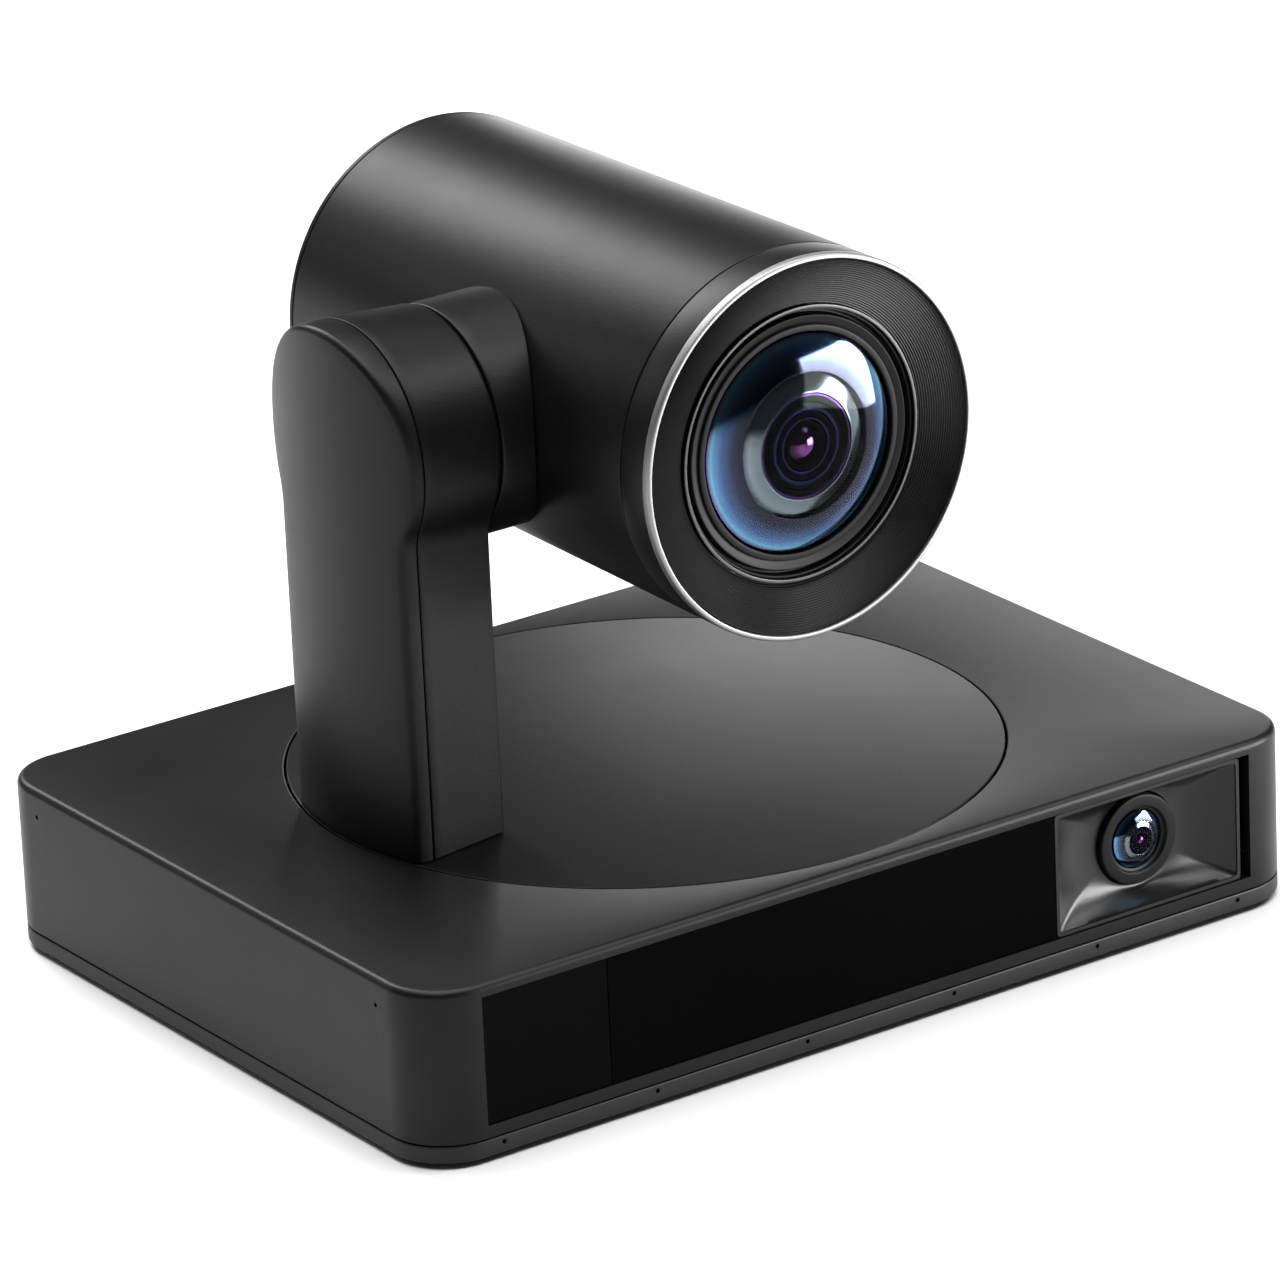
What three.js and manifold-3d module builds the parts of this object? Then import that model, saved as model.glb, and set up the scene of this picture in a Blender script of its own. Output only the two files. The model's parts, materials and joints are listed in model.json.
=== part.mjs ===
// Conference camera with a pan-tilt head: a flat base with a wide-angle camera in its front,
// a turntable that pans, an arm on the turntable and a barrel-shaped zoom camera that tilts on it.
// Millimetres, +Z up, the lens faces -Y, the origin is on the table under the pan axis.
import * as THREE from "three";
import { mergeVertices } from "three/addons/utils/BufferGeometryUtils.js";
import Module from "manifold-3d";

const wasm = await Module();
wasm.setup();

// ---------------------------------------------------------------- driving dimensions
const GAP = 0.3; // clearance between pieces that touch
const CUT = 1; // how far a cutting tool runs past the face that it cuts

const BASE_WIDTH = 260;
const BASE_DEPTH = 190;
const BASE_HEIGHT = 43.6; // without the feet
const BASE_CORNER_R = 15.5;
const SHELL_WALL = 2.6;
const COVER_BAND = 4.5; // height of the bottom cover's visible band
const COVER_FLOOR = 2;
const LIP_HEIGHT = 2.4; // rim of the bottom cover that stands up inside the top shell
const LIP_WALL = 1.4;

const FOOT_HEIGHT = 1.2; // how far a foot stands below the bottom cover
const FOOT_R = 8;
const FOOT_SINK = 0.8; // depth of the pocket that holds the foot
const FOOT_INSET = 32; // from the foot's centre to the base's sides

const TURNTABLE_R = 88.5;
const TURNTABLE_GAP = 0.4;
const TILT_HEIGHT = 142.2; // tilt axis above the bottom cover's underside

const MIC_HOLE_R = 0.55;
const FRONT_MIC_COUNT = 6;
const FRONT_MIC_PITCH = 43.7;
const FRONT_MIC_HEIGHT = 2.95; // above the bottom cover's underside
const SIDE_MIC_Y = 75.2;
const SIDE_MIC_DROP = 6.8; // below the top face

const WINDOW_WIDTH = 227;
const WINDOW_HEIGHT = 32.5;
const WINDOW_TOP_EDGE = 3.1; // from the top face down to the window
const FASCIA_RECESS = 0.4;
const FASCIA_THICK = 2.6;
const SIDE_WINDOW_WIDTH = 35.4;
const WIDE_BEZEL_WIDTH = 59.9;

const WIDE_LENS_R = 7.4; // glass of the wide-angle camera
const WIDE_HOUSING_R = 11.6;
const WIDE_HOUSING_WALL = 1.8;
const WIDE_LENS_RECESS = 5.6; // from the front face back to the housing's rim
const FUNNEL_DEPTH = 9;
const FUNNEL_WALL = 1.6;
const WIDE_CAMERA_DEPTH = 18;

const PORT_OPENING_WIDTH = 118;
const PORT_OPENING_HEIGHT = 19;
const PORT_SILL = 3.2; // from the seam up to the port opening
const PORT_RECESS = 2.4;
const PORT_PLATE_THICK = 2;
const BOARD_THICK = 1.6;
const BOARD_SINK = 0.4; // main board's underside below the port opening

const SCREW_HEAD_R = 2.7;
const SCREW_HEAD_HEIGHT = 1.2;
const SCREW_SHANK_R = 1.3;
const BASE_SCREW_LENGTH = 12;
const BOSS_R = 4.2;
const BOSS_INSET = 17.5; // from a screw boss's centre to the base's sides

const CHASSIS_THICK = 2;
const CHASSIS_DEPTH = 108;
const CHASSIS_LEFT = -70;
const CHASSIS_EDGE = 4; // from the pan motor to the chassis's right edge
const CHASSIS_LEG_R = 4;
const CHASSIS_LEG_INSET = 6;
const CHASSIS_HEIGHT = 15.3; // underside above the bottom cover's underside
const PAN_MOTOR_X = 84;
const PAN_MOTOR_SIDE = 35;
const PAN_PULLEY_R = 55;
const MOTOR_PULLEY_R = 8;
const BELT_THICK = 1.3;
const BELT_WIDTH = 4.6;
const BELT_DROP = 11; // from the turntable's underside to the pan belt's lower edge
const PULLEY_FLANGE = 1.1;

const ARM_DEPTH = 22.8; // of the arm's housing, from the head's side to the cover's seam
const ARM_COVER_DEPTH = 8.7; // of the outer cover, in the middle
const ARM_TOP_R = 30.9; // round top at the seam
const ARM_HALF_WIDTH = 25.8; // straight part at the seam
const ARM_INNER_TOP_R = 29.4;
const ARM_INNER_HALF_WIDTH = 22.4;
const ARM_WAIST_R = 15; // concave corner between the round top and the straight part
const ARM_WALL = 2.2;

const TILT_SHAFT_R = 8;
const TILT_SHAFT_WALL = 2.4;
const BEARING_RING = 7.4; // from a bearing's bore to its outside
const BEARING_WIDTH = 6.4;
const TILT_PULLEY_R = 18;
const TILT_MOTOR_PULLEY_R = 6;
const TILT_MOTOR_DROP = 58; // motor shaft below the tilt axis
const TILT_MOTOR_SIDE = 28;
const MOTOR_LENGTH = 11; // of the pan motor
const MOTOR_CLEARANCE = 1.5; // from the tilt motor's back to its pulley

const NECK_R = 29;
const NECK_WALL = 3;
const NECK_GAP = 0.6;
const NECK_LENGTH = 9.7; // from the arm to the side of the barrel
const NECK_END_WALL = 2.4;
const NECK_REACH = 10; // from the barrel's axis to the end of the neck before it is cut to the barrel

const BARREL_FRONT_R = 47.3;
const BARREL_REAR_R = 45.3;
const BARREL_FRONT = 75.1; // lens end, ahead of the tilt axis
const BARREL_REAR = 82;
const BARREL_WALL = 2.2;
const BEZEL_LENGTH = 11.3;
const RIM_LENGTH = 2.2;
const RIM_WALL = 1.4;
const REAR_CAP_THICK = 3;

const HOOD_SETBACK = 0.5; // from the rim's front back to the hood face
const HOOD_DEPTH = 4.6; // from the rim back to the inner edge of the conical hood face
const RETAINER_R = 33.6;
const RETAINER_LENGTH = 4.4;
const FRONT_GLASS_THICK = 2.4; // at the edge
const LENS_CONE_LENGTH = 13;
const SECOND_LENS_THICK = 3;
const CRADLE_SETBACK = 10; // from the lens tube's front to the cradle
const CRADLE_THICK = 3;
const FRONT_GLASS_R = 27;
const FRONT_GLASS_RISE = 4.4;
const LENS_TUBE_LENGTH = 66;
const LENS_TUBE_WALL = 1.6;

const FINE = 40; // sides of a large outer round
const ROUND = 24; // sides of an inner round
const SMALL = 16; // sides of a small round
const HOLE = 8; // sides of a small hole

// ---------------------------------------------------------------- derived places
const zUnder = FOOT_HEIGHT;
const zSeam = zUnder + COVER_BAND;
const zTop = zUnder + BASE_HEIGHT;
const zTilt = zUnder + TILT_HEIGHT;
const xArmSeam = ARM_COVER_DEPTH - TURNTABLE_R; // the arm's cover ends flush with the turntable
const xArmInner = xArmSeam + ARM_DEPTH;
const xHead = xArmInner + NECK_LENGTH + BARREL_FRONT_R; // the barrel's axis: 0 puts it over the pan axis
const yFront = -BASE_DEPTH / 2;
const yRear = BASE_DEPTH / 2;
const zWindowTop = zTop - WINDOW_TOP_EDGE;
const zWindowBottom = zWindowTop - WINDOW_HEIGHT;
const zWindowMiddle = (zWindowTop + zWindowBottom) / 2;
const xWideLens = WINDOW_WIDTH / 2 - WIDE_BEZEL_WIDTH / 2;
const zChassis = zUnder + CHASSIS_HEIGHT;
const zTableUnder = zTop - SHELL_WALL;
const zBelt = zTableUnder - BELT_DROP;
const zPortBottom = zSeam + PORT_SILL;
const zBoard = zPortBottom - BOARD_SINK;
const zArmFoot = zTop + GAP;
const zTiltMotor = zTilt - TILT_MOTOR_DROP;
const corners = [
  ["front_left", -1, -1],
  ["front_right", 1, -1],
  ["rear_left", -1, 1],
  ["rear_right", 1, 1],
];

// ---------------------------------------------------------------- materials
const finish = (color, roughness, metalness = 0) =>
  new THREE.MeshStandardMaterial({ color, roughness, metalness });
const SATIN = finish(0x2b2b2c, 0.5);
const BAND = finish(0x343435, 0.55);
const GLOSS = finish(0x08080a, 0.08);
const RUBBER = finish(0x161616, 0.9);
const STEEL = finish(0x8d9094, 0.35, 1);
const BRASS = finish(0xb08d4a, 0.35, 1);
const ALUMINIUM = finish(0x9ea1a5, 0.3, 1);
const BOARD = finish(0x16402a, 0.5);
const MOTOR = finish(0x3a3c40, 0.4, 0.8);
const OPTIC_BLACK = finish(0x0c0c0e, 0.45);
const GLASS = finish(0x1c2a44, 0.02);

// ---------------------------------------------------------------- shape helpers
// A closed three.js geometry as a manifold-3d solid, turned the right way out.
function solid(geometry) {
  const bare = geometry.index ? geometry.toNonIndexed() : geometry.clone();
  bare.deleteAttribute("normal");
  bare.deleteAttribute("uv");
  const merged = mergeVertices(bare, 1e-4);
  const corner = merged.index.array;
  const position = merged.attributes.position;
  const points = [0, 1, 2].map(() => new THREE.Vector3());
  let volume = 0;
  for (let i = 0; i < corner.length; i += 3) {
    points.forEach((p, k) => p.fromBufferAttribute(position, corner[i + k]));
    volume += points[0].dot(points[1].cross(points[2]));
  }
  const triVerts = new Uint32Array(corner);
  if (volume < 0) triVerts.reverse();
  return new wasm.Manifold(
    new wasm.Mesh({ numProp: 3, vertProperties: position.array, triVerts }),
  );
}

function join(...solids) {
  return solids.reduce((all, next) => all.add(next));
}

function carve(body, ...tools) {
  return tools.reduce((left, tool) => left.subtract(tool), body);
}

function box(x0, x1, y0, y1, z0, z1) {
  const shape = new THREE.BoxGeometry(x1 - x0, y1 - y0, z1 - z0);
  return solid(shape.translate((x0 + x1) / 2, (y0 + y1) / 2, (z0 + z1) / 2));
}

// A closed profile of [radius, along] points, turned about the axis X, Y or Z through a centre.
function turned(axis, profile, centre = [0, 0, 0], sides = ROUND) {
  const line = profile.map(([r, t]) => new THREE.Vector2(r, t));
  line.push(line[0].clone());
  const shape = new THREE.LatheGeometry(line, sides);
  if (axis === "Z") shape.rotateX(Math.PI / 2);
  if (axis === "X") shape.rotateZ(-Math.PI / 2);
  return solid(shape.translate(...centre));
}

function rod(axis, radius, from, to, centre = [0, 0, 0], sides = ROUND) {
  const shape = new THREE.CylinderGeometry(radius, radius, to - from, sides);
  shape.translate(0, (from + to) / 2, 0);
  if (axis === "Z") shape.rotateX(Math.PI / 2);
  if (axis === "X") shape.rotateZ(-Math.PI / 2);
  return solid(shape.translate(...centre));
}

function tube(axis, inner, outer, from, to, centre, sides) {
  const profile = [
    [inner, from],
    [outer, from],
    [outer, to],
    [inner, to],
  ];
  return turned(axis, profile, centre, sides);
}

// A flat outline of [u, v] points, extruded. Along Z the outline is [x, y], along X it is [y, z].
function extruded(axis, outline, from, to, hole) {
  const shape = new THREE.Shape(outline.map(([u, v]) => new THREE.Vector2(u, v)));
  if (hole)
    shape.holes.push(new THREE.Path(hole.map(([u, v]) => new THREE.Vector2(u, v))));
  const settings = { depth: to - from, bevelEnabled: false };
  const geometry = new THREE.ExtrudeGeometry(shape, settings).translate(0, 0, from);
  if (axis === "X") {
    const turn = new THREE.Matrix4().makeBasis(
      new THREE.Vector3(0, 1, 0),
      new THREE.Vector3(0, 0, 1),
      new THREE.Vector3(1, 0, 0),
    );
    geometry.applyMatrix4(turn);
  }
  return solid(geometry);
}

// A solid between two outlines of [u, v] points with the same count, at two places along X or Y.
function lofted(axis, outlineA, placeA, outlineB, placeB) {
  const n = outlineA.length;
  const place = ([u, v], t) => (axis === "X" ? [t, u, v] : [u, t, v]);
  const points = [
    ...outlineA.map((p) => place(p, placeA)),
    ...outlineB.map((p) => place(p, placeB)),
  ];
  const flat = outlineA.map(([u, v]) => new THREE.Vector2(u, v));
  const caps = THREE.ShapeUtils.triangulateShape(flat, []);
  const faces = [];
  for (const [a, b, c] of caps) faces.push(a, b, c, c + n, b + n, a + n);
  const forward = !THREE.ShapeUtils.isClockWise(flat);
  for (let i = 0; i < n; i++) {
    const j = (i + 1) % n;
    if (forward) faces.push(j, i, i + n, j, i + n, j + n);
    else faces.push(i, j, j + n, i, j + n, i + n);
  }
  const geometry = new THREE.BufferGeometry();
  geometry.setAttribute(
    "position",
    new THREE.Float32BufferAttribute(points.flat(), 3),
  );
  geometry.setIndex(faces);
  return solid(geometry);
}

function arc(cu, cv, r, fromDeg, toDeg, steps) {
  return Array.from({ length: steps + 1 }, (_, i) => {
    const a = THREE.MathUtils.degToRad(fromDeg + ((toDeg - fromDeg) * i) / steps);
    return [cu + r * Math.cos(a), cv + r * Math.sin(a)];
  });
}

function roundedRectangle(width, height, r, cu = 0, cv = 0, steps = 6) {
  const u = width / 2 - r;
  const v = height / 2 - r;
  return [
    ...arc(cu + u, cv + v, r, 0, 90, steps),
    ...arc(cu - u, cv + v, r, 90, 180, steps),
    ...arc(cu - u, cv - v, r, 180, 270, steps),
    ...arc(cu + u, cv - v, r, 270, 360, steps),
  ];
}

// The base's plan outline, taken in by an inset all round.
function basePlan(inset) {
  return roundedRectangle(
    BASE_WIDTH - 2 * inset,
    BASE_DEPTH - 2 * inset,
    BASE_CORNER_R - inset,
  );
}

// The line round two circles on one axis, as a belt runs: big one at the origin, small one at u = distance.
function beltLine(bigR, smallR, distance) {
  const lean = THREE.MathUtils.radToDeg(Math.acos((bigR - smallR) / distance));
  return [
    ...arc(distance, 0, smallR, -lean, lean, 8),
    ...arc(0, 0, bigR, lean, 360 - lean, 24),
  ];
}

const pieces = [];
function piece(name, material, shape) {
  pieces.push({ name, material, shape });
}

// ---------------------------------------------------------------- base casing
const bossPlaces = corners.map(([name, sx, sy]) => [
  name,
  sx * (BASE_WIDTH / 2 - BOSS_INSET),
  sy * (BASE_DEPTH / 2 - BOSS_INSET),
]);

function topShell() {
  const zLow = zSeam + GAP;
  const outer = extruded("Z", basePlan(0), zLow, zTop);
  const hollow = extruded("Z", basePlan(SHELL_WALL), zLow - CUT, zTop - SHELL_WALL);
  const tableHole = rod(
    "Z",
    TURNTABLE_R + TURNTABLE_GAP,
    zTop - SHELL_WALL - CUT,
    zTop + CUT,
    [0, 0, 0],
    FINE,
  );
  const frontWindow = box(
    -WINDOW_WIDTH / 2,
    WINDOW_WIDTH / 2,
    yFront - CUT,
    yFront + SHELL_WALL + CUT,
    zWindowBottom,
    zWindowTop,
  );
  const portOpening = box(
    -PORT_OPENING_WIDTH / 2,
    PORT_OPENING_WIDTH / 2,
    yRear - SHELL_WALL - CUT,
    yRear + CUT,
    zPortBottom,
    zPortBottom + PORT_OPENING_HEIGHT,
  );
  const micHoles = [-1, 1].map((sy) =>
    rod(
      "X",
      MIC_HOLE_R,
      -BASE_WIDTH / 2 - CUT,
      BASE_WIDTH / 2 + CUT,
      [0, sy * SIDE_MIC_Y, zTop - SIDE_MIC_DROP],
      8,
    ),
  );
  const bosses = bossPlaces.map(([, x, y]) =>
    tube(
      "Z",
      SCREW_SHANK_R + GAP,
      BOSS_R,
      zUnder + COVER_FLOOR + GAP,
      zTop - SHELL_WALL + GAP,
      [x, y, 0],
      SMALL,
    ),
  );
  return join(
    carve(outer, hollow, tableHole, frontWindow, portOpening, ...micHoles),
    ...bosses,
  );
}

const TRIPOD_R = 3.175; // quarter-inch camera thread
const TRIPOD_DEPTH = 9;
const INSERT_WALL = 2.2;
const TRIPOD_BOSS_WALL = 3;
const TRIPOD_BOSS_ROOF = 1.4; // boss top above the bush
const INSERT_Y = 0;
const STANDOFF_R = 2.6;
const boardHalf = PORT_OPENING_WIDTH / 2 + 8;
const yBoardRear = yRear - PORT_RECESS - PORT_PLATE_THICK - GAP;
const BOARD_DEPTH = 27;
const standoffs = [-1, 1].flatMap((sx) =>
  [4, BOARD_DEPTH - 4].map((inset) => [sx * (boardHalf - 5), yBoardRear - inset]),
);

function footPlace(sx, sy) {
  return [sx * (BASE_WIDTH / 2 - FOOT_INSET), sy * (BASE_DEPTH / 2 - FOOT_INSET), 0];
}

function bottomCover() {
  const floorTop = zUnder + COVER_FLOOR;
  const tray = carve(
    extruded("Z", basePlan(0), zUnder, zSeam),
    extruded("Z", basePlan(SHELL_WALL + GAP + LIP_WALL), floorTop, zSeam + CUT),
  );
  const lip = extruded(
    "Z",
    basePlan(SHELL_WALL + GAP),
    zSeam - CUT,
    zSeam + LIP_HEIGHT,
    basePlan(SHELL_WALL + GAP + LIP_WALL),
  );
  const tripodBoss = rod(
    "Z",
    TRIPOD_R + INSERT_WALL + GAP + TRIPOD_BOSS_WALL,
    floorTop - GAP,
    zUnder + TRIPOD_DEPTH + TRIPOD_BOSS_ROOF,
    [0, INSERT_Y, 0],
    SMALL,
  );
  const boardPosts = standoffs.map(([x, y]) =>
    rod("Z", STANDOFF_R, floorTop - GAP, zBoard - GAP, [x, y, 0], HOLE),
  );
  const insertHole = rod(
    "Z",
    TRIPOD_R + INSERT_WALL + GAP,
    zUnder - CUT,
    zUnder + TRIPOD_DEPTH + GAP,
    [0, INSERT_Y, 0],
    SMALL,
  );
  const footPockets = corners.map(([, sx, sy]) =>
    rod("Z", FOOT_R + GAP, zUnder - CUT, zUnder + FOOT_SINK, footPlace(sx, sy), SMALL),
  );
  const screwHoles = bossPlaces.flatMap(([, x, y]) => [
    rod("Z", SCREW_SHANK_R + GAP, zUnder - CUT, floorTop + CUT, [x, y, 0], HOLE),
    rod("Z", SCREW_HEAD_R + GAP, zUnder - CUT, zUnder + SCREW_HEAD_HEIGHT, [x, y, 0], HOLE),
  ]);
  const first = (-(FRONT_MIC_COUNT - 1) / 2) * FRONT_MIC_PITCH;
  const micHoles = Array.from({ length: FRONT_MIC_COUNT }, (_, i) =>
    rod(
      "Y",
      MIC_HOLE_R,
      yFront - CUT,
      yFront + SHELL_WALL + GAP + LIP_WALL + CUT,
      [first + i * FRONT_MIC_PITCH, 0, zUnder + FRONT_MIC_HEIGHT],
      8,
    ),
  );
  return carve(
    join(tray, lip, tripodBoss, ...boardPosts),
    insertHole,
    ...footPockets,
    ...screwHoles,
    ...micHoles,
  );
}

function casingPieces() {
  piece("base_top_shell", SATIN, topShell());
  piece("base_bottom_cover", BAND, bottomCover());
  piece(
    "tripod_insert",
    BRASS,
    tube(
      "Z",
      TRIPOD_R,
      TRIPOD_R + INSERT_WALL,
      zUnder,
      zUnder + TRIPOD_DEPTH,
      [0, INSERT_Y, 0],
      SMALL,
    ),
  );
  for (const [name, sx, sy] of corners) {
    const foot = rod("Z", FOOT_R, 0, zUnder + FOOT_SINK - GAP, footPlace(sx, sy), SMALL);
    piece("foot_" + name, RUBBER, foot);
  }
  for (const [name, x, y] of bossPlaces) {
    const shank = rod("Z", SCREW_SHANK_R, zUnder, zUnder + BASE_SCREW_LENGTH, [x, y, 0], HOLE);
    const head = rod(
      "Z",
      SCREW_HEAD_R,
      zUnder + GAP / 2,
      zUnder + SCREW_HEAD_HEIGHT - GAP,
      [x, y, 0],
      HOLE,
    );
    piece("base_screw_" + name, STEEL, join(shank, head));
  }
}

// ---------------------------------------------------------------- front of the base
function frontPieces() {
  const left = -WINDOW_WIDTH / 2;
  const right = WINDOW_WIDTH / 2;
  const seamA = left + SIDE_WINDOW_WIDTH;
  const seamB = right - WIDE_BEZEL_WIDTH;
  const y0 = yFront + FASCIA_RECESS;
  const y1 = y0 + FASCIA_THICK;
  const z0 = zWindowBottom + GAP;
  const z1 = zWindowTop - GAP;
  const seam = GAP / 2;
  piece("side_window", GLOSS, box(left + GAP, seamA - seam, y0, y1, z0, z1));
  piece("front_panel", GLOSS, box(seamA + seam, seamB - seam, y0, y1, z0, z1));

  const bezelWidth = right - GAP - (seamB + seam);
  const bezelX = (right - GAP + seamB + seam) / 2;
  const corner = 1;
  const steps = 2;
  const mouth = roundedRectangle(
    bezelWidth - 2 * FUNNEL_WALL,
    WINDOW_HEIGHT - 2 * GAP - 2 * FUNNEL_WALL,
    corner,
    bezelX,
    zWindowMiddle,
    steps,
  );
  const throatR = WIDE_HOUSING_R + 1.2;
  const throat = roundedRectangle(
    2 * throatR + 2,
    2 * throatR,
    corner,
    xWideLens,
    zWindowMiddle,
    steps,
  );
  const yBack = y0 + FUNNEL_DEPTH;
  const lensAxis = [xWideLens, 0, zWindowMiddle];
  const bezel = carve(
    box(seamB + seam, right - GAP, y0, yBack + FUNNEL_WALL, z0, z1),
    lofted("Y", mouth, y0 - 0.01, throat, yBack),
    rod("Y", WIDE_HOUSING_R + GAP, y0, yBack + FUNNEL_WALL + CUT, lensAxis, 24),
  );
  piece("wide_lens_bezel", SATIN, bezel);

  const yRim = yFront + WIDE_LENS_RECESS;
  const yCamera = yRim + WIDE_CAMERA_DEPTH;
  const boreR = WIDE_LENS_R + GAP;
  const housing = [
    [boreR, yRim + 0.8],
    [WIDE_HOUSING_R - WIDE_HOUSING_WALL, yRim],
    [WIDE_HOUSING_R - 0.5, yRim],
    [WIDE_HOUSING_R, yRim + 0.5],
    [WIDE_HOUSING_R, yCamera],
    [boreR, yCamera],
  ];
  piece("wide_lens_housing", OPTIC_BLACK, turned("Y", housing, lensAxis, 24));
  const glass = [
    [0, yRim - 1.1],
    [WIDE_LENS_R * 0.5, yRim - 0.75],
    [WIDE_LENS_R * 0.85, yRim + 0.1],
    [WIDE_LENS_R, yRim + 1],
    [WIDE_LENS_R, yRim + 2],
    [0, yRim + 2],
  ];
  piece("wide_lens_glass", GLASS, turned("Y", glass, lensAxis, 24));
  const core = [
    [0, yRim + 9],
    [2.2, yRim + 9],
    [WIDE_LENS_R, yRim + 2 + GAP],
    [WIDE_LENS_R, yCamera - GAP],
    [0, yCamera - GAP],
  ];
  piece("wide_lens_core", OPTIC_BLACK, turned("Y", core, lensAxis, 24));
  const half = WIDE_HOUSING_R + 1;
  piece(
    "wide_camera_board",
    BOARD,
    box(
      xWideLens - half,
      xWideLens + half,
      yCamera + GAP,
      yCamera + GAP + BOARD_THICK,
      zWindowMiddle - half,
      zWindowMiddle + half,
    ),
  );
}

// ---------------------------------------------------------------- rear ports
// Each port: [name, centre x, body width, body height, socket width, socket height].
const ports = [
  ["power_jack", -45, 11, 11, 6.6, 6.6],
  ["usb_port", -20, 12, 11, 8.6, 7.8],
  ["hdmi_port", 5, 17.4, 8.4, 14.6, 5.4],
  ["lan_port", 33, 16.4, 14, 12, 9.4],
];
const PORT_DEPTH = 14;
const SOCKET_DEPTH = 10;
const RESET_X = 51;
const RESET_R = 1.5;
const RESET_LENGTH = 6;
const RESET_RISE = 6;

function portPieces() {
  const y1 = yRear - PORT_RECESS;
  const y0 = y1 - PORT_PLATE_THICK;
  const zPort = zBoard + BOARD_THICK + GAP;
  const yFace = y1 - 0.2;
  let plate = box(
    -PORT_OPENING_WIDTH / 2 + GAP,
    PORT_OPENING_WIDTH / 2 - GAP,
    y0,
    y1,
    zPortBottom + GAP,
    zPortBottom + PORT_OPENING_HEIGHT - GAP,
  );
  const lockX = -PORT_OPENING_WIDTH / 2 + 5.5;
  const zLock = zPortBottom + PORT_OPENING_HEIGHT / 2;
  plate = carve(
    plate,
    box(lockX - 1.5, lockX + 1.5, y0 - CUT, y1 + CUT, zLock - 3.5, zLock + 3.5),
    rod("Y", RESET_R + GAP, y0 - CUT, y1 + CUT, [RESET_X, 0, zPort + RESET_RISE], 16),
  );
  for (const [name, x, w, h, socketW, socketH] of ports) {
    const body = box(x - w / 2, x + w / 2, yFace - PORT_DEPTH, yFace, zPort, zPort + h);
    const zMid = zPort + h / 2;
    const ySocket = yFace - SOCKET_DEPTH;
    const socket =
      name === "power_jack"
        ? rod("Y", socketW / 2, ySocket, yFace + CUT, [x, 0, zMid], SMALL)
        : box(
            x - socketW / 2,
            x + socketW / 2,
            ySocket,
            yFace + CUT,
            zMid - socketH / 2,
            zMid + socketH / 2,
          );
    piece(name, name === "power_jack" ? OPTIC_BLACK : STEEL, carve(body, socket));
    const around = box(
      x - w / 2 - GAP,
      x + w / 2 + GAP,
      y0 - CUT,
      y1 + CUT,
      zPort - GAP,
      zPort + h + GAP,
    );
    plate = carve(plate, around);
  }
  piece("port_plate", SATIN, plate);
  const resetAxis = [RESET_X, 0, zPort + RESET_RISE];
  piece(
    "reset_button",
    BAND,
    rod("Y", RESET_R, y1 - 0.4 - RESET_LENGTH, y1 - 0.4, resetAxis, 16),
  );
  piece(
    "main_board",
    BOARD,
    box(
      -boardHalf,
      boardHalf,
      yBoardRear - BOARD_DEPTH,
      yBoardRear,
      zBoard,
      zBoard + BOARD_THICK,
    ),
  );
}

// ---------------------------------------------------------------- pan drive
const HUB_BORE_R = 8;
const HUB_STEM_R = 14;
const HUB_FLANGE_R = 36;
const HUB_FLANGE_THICK = 3;
const BEARING_SEAT = 3.5;
const zBearing = zChassis + CHASSIS_THICK + GAP;
const panSeatR = HUB_STEM_R + GAP + BEARING_RING;
const MOTOR_BOSS_R = 11;
const MOTOR_SHAFT_R = 2.5;
const SHAFT_SINK = 6; // how deep the pan motor's shaft runs in the motor, from the chassis
const TILT_SHAFT_SINK = 3; // from the tilt motor's far face to the end of its shaft
const PULLEY_WIDTH = BELT_WIDTH + 2 * PULLEY_FLANGE;

// A flanged belt pulley's profile from its bore out, along the axis from a start.
function pulleyProfile(boreR, r, start) {
  const end = start + PULLEY_WIDTH;
  const rim = r + BELT_THICK;
  return [
    [boreR, start],
    [rim, start],
    [rim, start + PULLEY_FLANGE - GAP],
    [r, start + PULLEY_FLANGE - GAP],
    [r, end - PULLEY_FLANGE + GAP],
    [rim, end - PULLEY_FLANGE + GAP],
    [rim, end],
    [boreR, end],
  ];
}

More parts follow.
